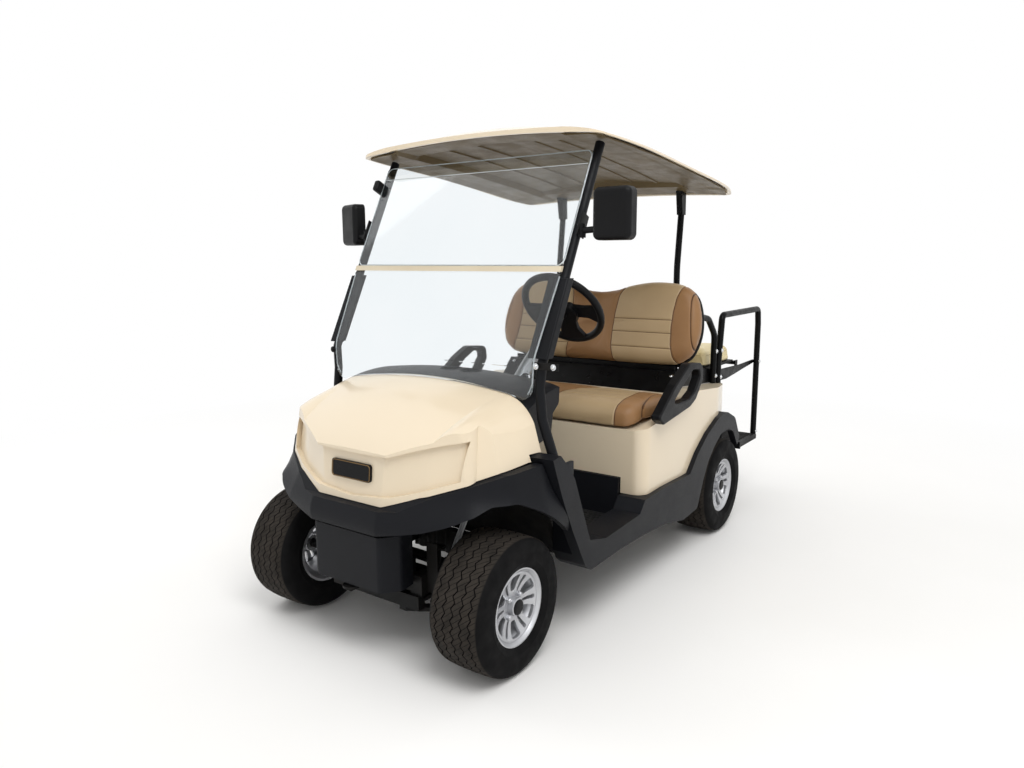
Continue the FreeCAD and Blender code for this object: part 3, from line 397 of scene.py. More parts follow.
def piece(name, mesh, slot, finish=None, body="chassis"):
    """Put a mesh in the scene as a piece that rides on a body."""
    obj = placed(name, mesh)
    mesh.name = name
    mesh.materials.append(FINISH[finish or slot])
    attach(obj, body)
    return obj


def shaded(mesh, angle):
    """Smooth shading with sharp edges above an angle in degrees."""
    mesh.shade_smooth()
    mesh.set_sharp_from_angle(angle=math.radians(angle))
    return mesh


def mesh_from(points, faces, angle=40.0):
    mesh = bpy.data.meshes.new("mesh")
    mesh.from_pydata([tuple(p) for p in points], [], faces)
    mesh.validate()
    return shaded(mesh, angle)


def skin(rings, looped=False, closed=True, caps=(True, True), angle=40.0):
    """Mesh through rings of points: looped if the last ring meets the first, closed if each ring is."""
    count = len(rings[0])
    faces = []
    for i in range(len(rings) if looped else len(rings) - 1):
        here, there = i * count, (i + 1) % len(rings) * count
        for j in range(count if closed else count - 1):
            k = (j + 1) % count
            faces.append((here + j, here + k, there + k, there + j))
    last = (len(rings) - 1) * count
    if caps[0]:
        faces.append(tuple(range(count - 1, -1, -1)))
    if caps[1]:
        faces.append(tuple(range(last, last + count)))
    return mesh_from([point for ring in rings for point in ring], faces, angle)


def circle(centre, across, beside, radius, sides):
    """Points round a centre in the plane of two directions, radius in millimetres."""
    turns = [math.tau * k / sides for k in range(sides)]
    return [centre + (across * math.cos(turn) + beside * math.sin(turn)) * (radius * MM) for turn in turns]


def revolved(profile, centre, segments=48, closed=False, swing=None, angle=40.0):
    """Turn a profile about X through a centre: x, radius, and how far it follows the swing."""
    rings = []
    for i in range(segments):
        turn = math.tau * i / segments
        ring = []
        for x, radius, *follow in profile:
            shift = swing(i) * follow[0] if swing else 0.0
            offset = Vector((x + shift, radius * math.sin(turn), radius * math.cos(turn)))
            ring.append(centre + offset * MM)
        rings.append(ring)
    return skin(rings, True, closed, (False, False), angle)


def hub(wheel):
    """Middle of a wheel, and which way along X is outwards."""
    low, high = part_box("tyre_" + wheel)
    centre = (low + high) / 2
    return centre, 1 if centre.x > 0 else -1


# Tyres
GROOVES = (-66.0, -33.0, 0.0, 33.0, 66.0)
GROOVE_HALF, GROOVE_DEEP, GROOVE_TAPER = 2.4, 6.5, 0.7
# How far the tread falls off, at which distance from its middle, and the curve's power
CROWN_DROP, CROWN_HALF, CROWN_POWER = 3.4, 80.0, 2.4
TREAD_PERIODS = 38
TREAD_SWING = 6.0
STEPS_A_PERIOD = 4
# Sidewall from the tread's edge to the bead: x, radius
SIDEWALL = (
    (86, 224.5), (95, 219), (101, 210), (104, 198), (105, 186), (105.6, 172), (104.8, 158), (105.2, 152),
    (103.6, 150), (101, 141), (96, 132), (90, 127), (88, 129.5), (84, 128.5), (82, 120), (78, 112),
)


def crown(x):
    """Tread's radius across its width."""
    return TYRE_R - CROWN_DROP * (abs(x) / CROWN_HALF) ** CROWN_POWER


def tread_profile():
    """Closed section of the tyre: x, radius, and how far it follows the zigzag."""
    tread = []
    for groove in GROOVES:
        if tread:
            middle = (tread[-1][0] + groove - GROOVE_HALF) / 2
            tread.append((middle, crown(middle), 1.0))
        low = crown(groove) - GROOVE_DEEP
        tread += [
            (groove - GROOVE_HALF, crown(groove), 1.0), (groove - GROOVE_HALF + GROOVE_TAPER, low, 1.0),
            (groove + GROOVE_HALF - GROOVE_TAPER, low, 1.0), (groove + GROOVE_HALF, crown(groove), 1.0),
        ]
    right = [(x, r, 0.0) for x, r in SIDEWALL]
    left = [(-x, r, 0.0) for x, r in reversed(SIDEWALL)]
    return left + tread + right


def tread_swing(step):
    return TREAD_SWING * (-1.0, 0.0, 1.0, 0.0)[step % STEPS_A_PERIOD]


def tyres():
    for wheel in WHEELS:
        centre, _ = hub(wheel)
        segments = TREAD_PERIODS * STEPS_A_PERIOD
        mesh = revolved(tread_profile(), centre, segments, True, tread_swing, 35.0)
        offsets = [value / MM for vertex in mesh.vertices for value in vertex.co - centre]
        mesh.attributes.new("from_hub", "FLOAT_VECTOR", "POINT").data.foreach_set("vector", offsets)
        tyre = piece("tyre_tread_" + wheel, mesh, "tyre", body="wheel_" + wheel)
        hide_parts("tyre_" + wheel)


# Rim in section: x outwards, radius
RIM_BARREL = (
    (-92, 128), (-92, 120), (-80, 108), (-70, 97), (52, 97), (66, 106), (78, 112), (87, 119), (92, 124),
    (92, 128), (87, 124), (80, 118), (66, 110), (50, 103), (-66, 103), (-80, 115), (-86, 122),
)
RIM_FACE = (
    (58, 18), (66, 18), (66, 44), (67, 60), (71, 80), (78, 98), (83, 108), (82, 114), (74, 112), (66, 100),
    (60, 84), (56, 62), (55, 44),
)
RIM_HUB = ((0, 32), (80, 30), (86, 29), (88, 26), (88, 0.5), (0, 0.5))
RIM_SEGMENTS, HUB_SEGMENTS = 96, 48
# Holes between the spokes: half width, radius, and from which x to which they are cut
RIM_WINDOW = ((9, 52), (13, 60), (19, 80), (23, 97), (20, 103), (10, 105), (0, 105.5))
RIM_SLOT = ((2.6, 47), (4.0, 52), (5.6, 75), (7.4, 97), (6.0, 102), (0, 103.5))
RIM_CUT = (30, 110)
SPOKE_PAIRS = 6
SPOKE_BEVEL = 0.0014


def hole_mesh(half, turn, centre, outward):
    """Closed prism through the rim's face."""
    outline = list(half) + [(-u, r) for u, r in reversed(half) if u > 0]
    rings = []
    for x in RIM_CUT:
        ring = []
        for across, radius in outline:
            y = across * math.cos(turn) + radius * math.sin(turn)
            z = radius * math.cos(turn) - across * math.sin(turn)
            ring.append(centre + Vector((x * outward, y, z)) * MM)
        rings.append(ring)
    return skin(rings)


def faced_outwards(mesh):
    """Turn all the faces of closed shells outwards."""
    shape = bmesh.new()
    shape.from_mesh(mesh)
    bmesh.ops.recalc_face_normals(shape, faces=shape.faces)
    shape.to_mesh(mesh)
    shape.free()
    return mesh


def modified(obj, kind, **settings):
    """Give an object the mesh that a modifier makes of its own."""
    modifier = obj.modifiers.new(kind, kind)
    for key, value in settings.items():
        setattr(modifier, key, value)
    return applied(obj)


def cut_by(obj, meshes):
    """Take closed meshes away from an object."""
    cutter = placed("cutter", faced_outwards(joined(meshes)))
    modified(obj, "BOOLEAN", operation="DIFFERENCE", solver="EXACT", object=cutter)
    bpy.data.objects.remove(cutter)


def turned_closed(profile, centre, outward, segments):
    """Closed ring about the wheel's axle."""
    profile = [(x * outward, radius) for x, radius in profile]
    return faced_outwards(revolved(profile, centre, segments, True))


def spoked_face(name, wheel, centre, outward):
    """Rim's face with its windows and slots cut out and the spokes' edges softened."""
    face = turned_closed(RIM_FACE, centre, outward, RIM_SEGMENTS)
    rim = piece(name, face, "wheel_alloy", body="wheel_" + wheel)
    holes = []
    for i in range(SPOKE_PAIRS):
        turn = math.tau * i / SPOKE_PAIRS
        holes.append(hole_mesh(RIM_WINDOW, turn, centre, outward))
        holes.append(hole_mesh(RIM_SLOT, turn + math.pi / SPOKE_PAIRS, centre, outward))
    cut_by(rim, holes)
    return modified(rim, "BEVEL", width=SPOKE_BEVEL, segments=2, limit_method="ANGLE",
                    angle_limit=math.radians(35))


def rims_of_alloy():
    """Rims whose spoked face stands near the edge."""
    for wheel in WHEELS:
        centre, outward = hub(wheel)
        name = "alloy_rim_" + wheel
        rim = spoked_face(name, wheel, centre, outward)
        rim.data = joined([rim.data, turned_closed(RIM_BARREL, centre, outward, RIM_SEGMENTS),
                           turned_closed(RIM_HUB, centre, outward, HUB_SEGMENTS)])
        shaded(rim.data, 38).materials.append(FINISH["wheel_alloy"])
        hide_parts("rim_" + wheel)


# Centre cap: x outwards, radius
CAP_PROFILE = ((86, 26), (90, 25.5), (91.5, 23), (92.5, 15), (93, 0.0))
# Nuts: how many, their ring's radius, and each one's foot along the axle, radius and length
NUT_COUNT, NUT_RING, NUT_FOOT, NUT_RADIUS, NUT_LENGTH = 4, 42.0, 64.0, 9.5, 17.0
# Share of a nut's length, share of its radius
NUT_PROFILE = ((0, 1), (0.7, 1), (0.9, 0.75), (1, 0))


def nut_mesh(centre, outward):
    """Domed six-sided nut along X."""
    profile = [(length * NUT_LENGTH * outward, radius * NUT_RADIUS) for length, radius in NUT_PROFILE]
    return revolved(profile, centre, 6)


def joined(meshes):
    """One mesh from several."""
    shape = bmesh.new()
    for mesh in meshes:
        shape.from_mesh(mesh)
    mesh = bpy.data.meshes.new("joined")
    shape.to_mesh(mesh)
    shape.free()
    return mesh


def bar_mesh(points, radius, closed=False, sides=6):
    """Round bar through points in the frame, with flat ends unless it is closed."""
    rings = []
    count = len(points)
    across = None
    for i, here in enumerate(points):
        before = points[i - 1] if i or closed else here
        after = points[(i + 1) % count] if i + 1 < count or closed else here
        forward = (after - before).normalized()
        across = forward.orthogonal() if across is None else across - forward * across.dot(forward)
        across.normalize()
        rings.append(circle(here, across, forward.cross(across), radius, sides))
    return skin(rings, closed, True, (not closed, not closed), 50.0)


def block_mesh(size, place, turn, bevel):
    """Box with its edges rounded: sizes and place in the frame, turned about its middle."""
    shape = bmesh.new()
    bmesh.ops.create_cube(shape, size=1.0)
    bmesh.ops.scale(shape, vec=Vector(size) * MM, verts=shape.verts)
    bmesh.ops.bevel(shape, geom=list(shape.edges), offset=bevel * MM, segments=3, profile=0.5, affect="EDGES")
    if turn is not None:
        bmesh.ops.transform(shape, matrix=turn.to_4x4(), verts=shape.verts)
    bmesh.ops.translate(shape, vec=place, verts=shape.verts)
    mesh = bpy.data.meshes.new("block")
    shape.to_mesh(mesh)
    shape.free()
    return shaded(mesh, 35)


def wheel_trim():
    """Blank centre cap and nuts on each wheel."""
    for wheel in WHEELS:
        centre, outward = hub(wheel)
        cap = revolved([(x * outward, radius) for x, radius in CAP_PROFILE], centre)
        piece("centre_cap_" + wheel, cap, "grip_black", body="wheel_" + wheel)
        nuts = []
        for i in range(NUT_COUNT):
            turn = math.tau * (i + 0.5) / NUT_COUNT
            foot = Vector((NUT_FOOT * outward, NUT_RING * math.sin(turn), NUT_RING * math.cos(turn))) * MM
            nuts.append(nut_mesh(centre + foot, outward))
        piece("wheel_nuts_" + wheel, joined(nuts), "wheel_alloy", body="wheel_" + wheel)


# Cushions
def spline(points, per_span):
    """Smooth closed line through a list of tuples."""
    count = len(points)
    made = []
    for i in range(count):
        p0, p1, p2, p3 = (Vector(points[(i + k) % count]) for k in (-1, 0, 1, 2))
        for step in range(per_span):
            t = step / per_span
            made.append(0.5 * (2 * p1 + (p2 - p0) * t + (2 * p0 - 5 * p1 + 4 * p2 - p3) * t * t
                               + (3 * p1 - p0 - 3 * p2 + p3) * t ** 3))
    return made


def along(table, place):
    """Value at a place in a table of (place, value), in straight runs."""
    if place <= table[0][0]:
        return table[0][1]
    for (a, u), (b, v) in zip(table, table[1:]):
        if place <= b:
            return u + (v - u) * (place - a) / (b - a)
    return table[-1][1]


def applied(obj):
    """Give an object the mesh that its modifiers make."""
    depsgraph = bpy.context.evaluated_depsgraph_get()
    mesh = bpy.data.meshes.new_from_object(obj.evaluated_get(depsgraph))
    obj.modifiers.clear()
    obj.data = mesh
    return obj


# Cloth simulation of a cover: frames, pressure, steps a frame, and how near a seam it is held, in millimetres
SIM_FRAMES, PRESSURE, CLOTH_STEPS, SEAM_REACH = 20, 4.0, 5, 4.5


def at_seam(gaps):
    """Whether a point lies on a seam, from its distances to them."""
    if gaps["plain"] > 0:
        return False
    lines = [gaps["insert"], gaps["bolster"]]
    if gaps["insert"] > 0:
        lines += [gaps[name] for name in CHANNEL_NAMES]
    return min(abs(line) for line in lines) < SEAM_REACH


def puffed(obj, cap, held):
    """Blow a cover up between its seams by a cloth simulation, by no more than the cap."""
    rest = [v.co.copy() for v in obj.data.vertices]
    seams = obj.vertex_groups.new(name="seams")
    seams.add([v.index for v in obj.data.vertices if held(v.co)], 1.0, "ADD")
    cloth = obj.modifiers.new("Cover", "CLOTH")
    cloth.settings.quality = CLOTH_STEPS
    cloth.settings.use_pressure = True
    cloth.settings.uniform_pressure_force = PRESSURE
    cloth.settings.effector_weights.gravity = 0.0
    cloth.settings.vertex_group_mass = "seams"
    cloth.point_cache.frame_start, cloth.point_cache.frame_end = 1, SIM_FRAMES
    for step in range(1, SIM_FRAMES + 1):
        SCENE.frame_set(step)
    applied(obj)
    SCENE.frame_set(1)
    for vertex, start in zip(obj.data.vertices, rest):
        move = vertex.co - start
        if move.length > 1e-7:
            vertex.co = start + move * (cap * math.tanh(move.length / cap) / move.length)
    obj.vertex_groups.clear()


VOXEL = 0.008
# How deep the cover is drawn in at a seam and at a channel, and half the width of that, in millimetres
SEAM_DEEP, CHANNEL_DEEP, SEAM_HALF = 3.6, 3.0, 4.2


def drawn_in(gaps):
    """How far a point of the cover is pulled in."""
    pull = SEAM_DEEP * max(math.exp(-(gaps[name] / SEAM_HALF) ** 2) for name in ("insert", "bolster"))
    if gaps["insert"] > -2:
        nearest = min(abs(gaps[name]) for name in CHANNEL_NAMES)
        pull = max(pull, CHANNEL_DEEP * math.exp(-(nearest / SEAM_HALF) ** 2))
    in_front = 1.0 / (1.0 + math.exp(max(min(gaps["plain"] / 3.0, 30.0), -30.0)))
    return pull * in_front


def sewn(obj, gaps_at):
    """Pull the cover in along its seams and note each point's distance from them for the finish."""
    mesh = obj.data
    normals = [v.normal.copy() for v in mesh.vertices]
    rows = [gaps_at(v.co) for v in mesh.vertices]
    for vertex, normal, gaps in zip(mesh.vertices, normals, rows):
        vertex.co -= normal * (drawn_in(gaps) * MM)
    for name in rows[0]:
        layer = mesh.attributes.new(name, "FLOAT", "POINT")
        layer.data.foreach_set("value", [gaps[name] for gaps in rows])


def upholstered(pad, smoothing, cap, held, gaps_at=None):
    """Give a slab a cushion's even mesh, puffed cover and sewn seams."""
    modified(pad, "REMESH", mode="VOXEL", voxel_size=VOXEL)
    modified(pad, "SMOOTH", iterations=smoothing)
    puffed(pad, cap, held)
    modified(pad, "SUBSURF", levels=1, render_levels=1)
    if gaps_at:
        sewn(pad, gaps_at)


def landed(obj, rays):
    """Where rays, each a start and a direction, meet an object."""
    tree = BVHTree.FromObject(obj, bpy.context.evaluated_depsgraph_get())
    place = obj.matrix_world
    back = place.inverted()
    hits = [tree.ray_cast(back @ start, back.to_3x3() @ direction)[0] for start, direction in rays]
    return [place @ hit for hit in hits if hit is not None]


def piping(name, obj, rows, radius, slot, finish=None, body="chassis"):
    """Bars laid on an object where rows of rays meet it."""
    lines = [landed(obj, rays) for rays in rows]
    bars = [bar_mesh(line, radius) for line in lines if len(line) > 1]
    return piece(name, joined(bars), slot, finish, body)


# How far in from the edge each ring of a slab lies
SLAB_RINGS = (0.0, 4.0, 10.0, 18.0, 28.0, 40.0, 55.0, 75.0, 100.0, 130.0, 170.0)


def slab_mesh(edge, medial, to_frame, face_depth, rear_depth, thick):
    """Closed pad: rings drawn in from its edge towards a middle line, on its face and its rear side."""
    rings = []
    for inward, rear in [(i, False) for i in reversed(SLAB_RINGS)] + [(i, True) for i in SLAB_RINGS]:
        ring = []
        for place in edge:
            middle = medial(place)
            share = max(1.0 - inward / (place - middle).length, 0.0)
            spot = middle + (place - middle) * share
            depth = thick - rear_depth(inward, spot) if rear else face_depth(inward, spot)
            ring.append(to_frame(spot.x, depth, spot.y))
        rings.append(ring)
    return skin(rings)


def roll(inward, radius):
    """Rounded edge: 0 at the edge, 1 once the radius is passed."""
    return math.sqrt(1.0 - (1.0 - min(inward / radius, 1.0)) ** 2)


def eased(edge, rise, radius):
    """Depth that falls from its value at the edge by a rise, over a rounded corner."""
    return lambda inward, spot: edge - rise * roll(inward, radius)


def spine(half, level):
    """Middle line of a pad: from minus to plus half across, at one level."""
    return lambda place: Vector((max(min(place.x, half), -half), level))


def whole(half_edge, per_span=5):
    """Smooth closed edge line from its right half."""
    return spline(list(half_edge) + [(-x, v) for x, v in reversed(half_edge[1:-1])], per_span)


# Seat back. Edge of its right half, from the middle's top to its foot: x, height
BACK_EDGE = (
    (0, 350), (90, 356), (165, 379), (275, 399), (385, 395), (455, 376), (502, 336), (528, 276),
    (541, 210), (541, 150), (528, 92), (502, 48), (440, 14), (340, 6), (140, 8), (0, 10),
)
BACK_THICK = 96.0
BACK_PLAIN_FROM = 72.0
# Valley down the middle of the seat back: depth, half width, radius of the edge
BACK_VALLEY = (20.0, 95.0, 40.0)
# Seams on the seat back, each from height to x: the insert's inner and outer edge, the bolster
BACK_SEAMS = (
    ((0, 134), (90, 118), (165, 115), (240, 118), (320, 128), (400, 156)),
    ((0, 462), (40, 440), (96, 424), (180, 416), (250, 417), (310, 424), (400, 448)),
    ((0, 545), (51, 532), (125, 517), (211, 504), (298, 494), (350, 492), (400, 478)),
)
BACK_CHANNELS = (77.0, 148.0, 210.0)


def gaps_from(x, place, seams, channels, plain):
    """Distances in millimetres to the seams of a cover; plain is above 0 where it has none."""
    inner, outer, bolster = (along(seam, place) for seam in seams)
    gaps = {name: place - channel for name, channel in zip(CHANNEL_NAMES, channels)}
    gaps["insert"] = min(x - inner, outer - x)
    gaps["bolster"] = x - bolster
    gaps["plain"] = plain
    return gaps


def back_gaps(point):
    x, depth, up = back_place(point)
    return gaps_from(abs(x), up, BACK_SEAMS, BACK_CHANNELS, depth - BACK_PLAIN_FROM)


def back_rays():
    """Rays along the seams between the seat back's panels."""
    backwards = (on_back(0, 1, 0) - on_back(0, 0, 0)).normalized()
    for table in BACK_SEAMS:
        for side in BOTH:
            yield [(on_back(side * along(table, up), -80, up), backwards) for up in range(0, 412, 7)]


def back_face(inward, spot):
    deep, half, radius = BACK_VALLEY
    valley = deep * math.exp(-(spot.x / half) ** 2)
    return eased(58.0, 50.0, 62.0)(inward, spot) + valley * roll(inward, radius)


def seat_back():
    edge = whole(BACK_EDGE)
    mesh = slab_mesh(edge, spine(340, 200.0), on_back, back_face, eased(8.0, 8.0, 14.0), BACK_THICK)
    pad = piece("seat_back_pad", mesh, "seat_tan")
    upholstered(pad, 4, 0.012, lambda point: at_seam(back_gaps(point)), back_gaps)
    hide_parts("seat_back")
    piping("seat_back_piping", pad, back_rays(), 2.0, "seat_tan", "seat_piping")


# Front cushion. Edge of its right half in plan, x and y
CUSHION_EDGE = (
    (0, 806), (300, 806), (452, 808), (500, 824), (518, 870), (520, 1020), (518, 1170), (500, 1218),
    (452, 1232), (300, 1233), (0, 1233),
)
CUSHION_LOW = ((803, 656), (1236, 684))
CUSHION_TOP = ((797, 738), (860, 754), (930, 760), (1080, 754), (1240, 740))
# Seams on the cushion, as on the seat back, each from y to x
CUSHION_SEAMS = (
    ((790, 139), (860, 126), (970, 112), (1060, 124), (1130, 150), (1240, 190)),
    ((790, 440), (860, 438), (973, 418), (1077, 398), (1168, 377), (1240, 368)),
    ((790, 545), (860, 534), (913, 516), (1062, 478), (1156, 466), (1240, 478)),
)
CUSHION_CHANNELS = (925.0, 1030.0, 1122.0)


def cushion_place(x, depth, y):
    """Point on the cushion: depth is below its top."""
    return at(x, y, along(CUSHION_TOP, y) - depth)


def cushion_gaps(point):
    y = (point.y - AXLE) / MM
    plain = along(CUSHION_LOW, y) + 6 - point.z / MM
    return gaps_from(abs(point.x / MM), y, CUSHION_SEAMS, CUSHION_CHANNELS, plain)


def cushion_held(point):
    gaps = cushion_gaps(point)
    return gaps["plain"] > -14 or at_seam(gaps)


def cushion_rays():
    """Rays down on the cushion's seams, then back along them over its front edge."""
    for table in CUSHION_SEAMS:
        for side in BOTH:
            x = side * along(table, 800)
            front = [(at(x, 700, z), BACK) for z in range(668, 728, 7)]
            top = [(at(side * along(table, y), y, 900), DOWN) for y in range(812, 1240, 8)]
            yield front + top


def front_cushion():
    mesh = slab_mesh(whole(CUSHION_EDGE), spine(330, 1020.0), cushion_place,
                     eased(46.0, 42.0, 52.0), eased(8.0, 8.0, 12.0), 84.0)
    for vertex in mesh.vertices:
        y = (vertex.co.y - AXLE) / MM
        vertex.co.z = max(vertex.co.z, along(CUSHION_LOW, y) * MM)
    pad = piece("seat_cushion_pad", mesh, "seat_tan", body="seat_lid")
    upholstered(pad, 3, 0.012, cushion_held, cushion_gaps)
    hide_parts("seat_cushion")
    piping("seat_cushion_piping", pad, cushion_rays(), 2.0, "seat_tan", "seat_piping", "seat_lid")


# Rear cushions
def box_edge(half, low, high, corner):
    """Right half of a rectangle's edge with eased corners."""
    cut = corner * 0.3
    return ((0, low), (half - corner, low), (half - cut, low + cut), (half, low + corner),
            (half, high - corner), (half - cut, high - cut), (half - corner, high), (0, high))


def welt_rays(outline, middle):
    """One row of rays from outside a cushion towards its middle line."""
    return [[(start, (middle + LEFT * (start.x * 0.6) - start).normalized()) for start in outline]]


# Middle of the rear cushion and of the rear seat back: y, z
REAR_CUSHION, REAR_BACK = (1965, 838), (1712, 1000)
# Rear seat back's rear face: y and z of its foot, and how far forward it leans for each millimetre up
REAR_FACE = (1748, 850, 0.045)


def rear_cushion():
    y, z = REAR_CUSHION
    edge = whole(box_edge(430, 1790, 2140, 46))
    mesh = slab_mesh(edge, spine(290, y), lambda x, depth, v: at(x, v, 866 - depth),
                     eased(30.0, 28.0, 40.0), eased(6.0, 6.0, 10.0), 80.0)
    pad = piece("rear_seat_pad", mesh, "seat_cream", body="flip_seat")
    upholstered(pad, 3, 0.010, lambda point: point.z / MM < 794)
    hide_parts("rear_seat_cushion")
    rays = welt_rays([at(p.x * 1.2, y + (p.y - y) * 1.3, z) for p in edge], at(0, y, z))
    piping("rear_seat_piping", pad, rays, 2.2, "seat_cream", "cream_piping", "flip_seat")


def rear_back():
    y, z = REAR_BACK
    back, foot, lean = REAR_FACE
    edge = whole(box_edge(432, 856, 1140, 60))
    mesh = slab_mesh(edge, spine(310, z), lambda x, depth, v: at(x, back - depth - (v - foot) * lean, v),
                     eased(34.0, 30.0, 44.0), eased(6.0, 6.0, 10.0), 78.0)
    pad = piece("rear_back_pad", mesh, "seat_cream")
    upholstered(pad, 3, 0.010, lambda point: (point.y - AXLE) / MM < 1676)
    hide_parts("rear_seat_back")
    rays = welt_rays([at(p.x * 1.2, y, z + (p.y - z) * 1.3) for p in edge], at(0, y, z))
    piping("rear_back_piping", pad, rays, 2.2, "seat_cream", "cream_piping")


# Fittings
# Plane of the front posts: y and z of its foot, and how far back it goes for each millimetre up
POST_FOOT, POST_SLOPE = (196, 972), 0.496
LEANED = Matrix.Rotation(-math.atan(POST_SLOPE), 3, "X")


def spun(profile, base, outward, sides=16):
    """Turned shape on a base point: profile of (height, radius) along the outward direction."""
    across = outward.orthogonal().normalized()
    beside = outward.cross(across)
    rings = [circle(base + outward * (up * MM), across, beside, radius, sides) for up, radius in profile]
    return skin(rings, caps=(False, True), angle=35.0)


def bolt(base, outward, radius):
    """Domed head on a washer."""
    washer = ((-1, radius * 1.5), (1.5, radius * 1.5), (2, radius * 1.4))
    dome = ((1, radius), (radius * 0.5, radius), (radius * 0.8, radius * 0.8), (radius, radius * 0.45),
            (radius * 1.05, 0.5))
    return joined([spun(washer, base, outward), spun(dome, base, outward)])


# Bolt heads: name, finish, radius, sides, places (x, y, z), outward (x, y, z)
BOLTS = (
    ("windscreen_bolts", "chrome", 7.0, (1,), ((487, 176, 981), (550, 184, 981)), (0, -1, 0)),
    ("windscreen_knob", "grip_black", 8.0, (-1,), ((487, 176, 974),), (0, -1, 0)),
    ("carrier_bolts", "chrome", 7.0, BOTH, ((440, 1353, 792),), (0, -0.77, 0.64)),
    ("back_tube_bolts", "chrome", 7.0, BOTH, ((486, 1787, 868), (486, 1786, 745)), (1, 0, 0)),
    ("hoop_bolts", "chrome", 7.0, BOTH, ((496, 1834, 868), (496, 1829, 735)), (1, 0, 0)),
    ("rear_studs", "chrome", 8.0, BOTH, ((496, 2425, 747),), (1, 0, 0)),
    ("step_bolts", "chrome", 7.0, BOTH, ((496, 2422, 345),), (1, 0, 0)),
)


def bolts():
    for name, finish, radius, sides, places, outward in BOLTS:
        heads = []
        for side in sides:
            way = Vector((outward[0] * side, outward[1], outward[2])).normalized()
            heads += [bolt(at(x * side, y, z), way, radius) for x, y, z in places]
        piece(name, joined(heads), "bright_steel", finish)


# Small blocks: name, slot, size, middle (x, y, z), sides, whether it leans, whether it has a bolt
BLOCKS = (
    ("windscreen_foot_strap", "frame_steel", (100, 4, 24), (517, 186, 981), (1,), False, False),
    ("windscreen_clip", "grip_black", (28, 66, 46), (504, 486, 1619), (-1,), True, True),
    ("mirror_plates", "frame_steel", (5, 46, 84), (513, 424, 1440), BOTH, True, True),
    ("post_tabs", "trim_charcoal", (14, 80, 52), (563, 245, 628), BOTH, False, True),
    ("latch_clip", "hinge_beige", (12, 18, 32), (508, 222, 931), (-1,), False, True),
    ("harness_tag", "hinge_beige", (52, 8, 18), (142, -110, 364), (1,), False, False),
)
BLOCK_BOLT = 4.5


def blocks():
    for name, slot, size, (x, y, z), sides, leaning, bolted in BLOCKS:
        turn = LEANED if leaning else None
        bevel = min(size) * 0.3
        parts = [block_mesh(size, at(x * side, y, z), turn, bevel) for side in sides]
        if bolted:
            parts += [bolt(at((x + size[0] / 2) * side, y, z), LEFT * side, BLOCK_BOLT) for side in sides]
        piece(name, joined(parts), slot)


# Ribs of the floor mat: y, x start, x end
MAT_RIBS = [(y, -440, 440) for y in range(430, 770, 24)] + [(y, -440, 40) for y in range(246, 420, 24)]
STEP_RIBS, STEP_HALF = range(2180, 2400, 30), 480
# Pedal pads: x, half width, height; foot of their slope (y, z), and its direction
PEDALS = ((150, 24, 130), (300, 38, 92))
PEDAL_FOOT, PEDAL_SLOPE = (378, 344), (0.469, 0.883)


def pedal_ribs():
    for x, half, tall in PEDALS:
        for up in range(16, tall, 15):
            y, z = (foot + up * slope for foot, slope in zip(PEDAL_FOOT, PEDAL_SLOPE))
            yield [(at(x + reach, y + 60, z), FRONT) for reach in (-half, half)]


def ribs():
    """Raised lines on the floor mat, the step and the pedals."""
    rows = [[(at(x, y, 900), DOWN) for x in (a, (a + b) / 2, b)] for y, a, b in MAT_RIBS]
    piping("floor_mat_ribs", NODES["floor_pan"], rows, 3.0, "floor_rubber")
    rows = [[(at(x, y, 500), DOWN) for x in (-STEP_HALF, 0, STEP_HALF)] for y in STEP_RIBS]
    piping("step_ribs", NODES["footrest"], rows, 3.2, "step_black")
    piping("pedal_ribs", NODES["pedals"], pedal_ribs(), 2.4, "frame_steel", "floor_rubber")


def rounded(half_x, half_z, radius, steps=5):
    """Closed outline of a rounded rectangle about its middle."""
    corners = ((1, 1, 0), (-1, 1, 90), (-1, -1, 180), (1, -1, 270))
    outline = []
    for side_x, side_z, start in corners:
        for step in range(steps + 1):
            turn = math.radians(start + 90 * step / steps)
            outline.append((side_x * (half_x - radius) + radius * math.cos(turn),
                            side_z * (half_z - radius) + radius * math.sin(turn)))
    return outline + outline[:1]


# Bins in the dash: middle x, half width; their height. Cup holders: x; their y and radius
BINS, BIN_HEIGHT = ((-245, 179), (377.5, 51)), 828
CUPS, CUP_BACK, CUP_R = (-10, 84), 342, 42


def raised_edges():
    """Raised edges of the blank plate, the dash's bins and its cup holders."""
    rows = [[(at(x, -400, 640 + z), BACK) for x, z in rounded(88, 27, 10)]]
    piping("badge_rim", NODES["badge_plate"], rows, 1.8, "badge_dark", "badge_bronze")
    rows = []
    for middle, half in BINS:
        rows.append([(at(middle + x, 600, BIN_HEIGHT + z), FRONT) for x, z in rounded(half, 32, 20)])
    for middle in CUPS:
        ring = circle(at(middle, CUP_BACK, 1000), LEFT, BACK, CUP_R, 32)
        rows.append([(start, DOWN) for start in ring + ring[:1]])
    piping("dash_rims", NODES["dash"], rows, 2.6, "trim_charcoal", "grip_black")


# Key switch: height, radius
KEY_BARREL = ((0, 17), (8, 17), (9, 12), (13, 12), (13.5, 4))
KEY_PLACE = (290, 400, 898)


def key_switch():
    seat = at(*KEY_PLACE)
    barrel = spun(KEY_BARREL, seat, BACK, 24)
    key = block_mesh((4, 22, 16), seat + BACK * 0.022, None, 1.5)
    piece("key_switch", joined([barrel, key]), "frame_steel", "chrome")


def pane_place(x, z, depth):
    """Point behind the plane of the front posts by a depth."""
    return at(x, POST_FOOT[0] + POST_SLOPE * (z - POST_FOOT[1]) + depth, z)


# Upper pane: height of its middle, half width, half height, corner, depth behind the posts' plane
UPPER_PANE = (1501.5, 491, 198, 26, -28)
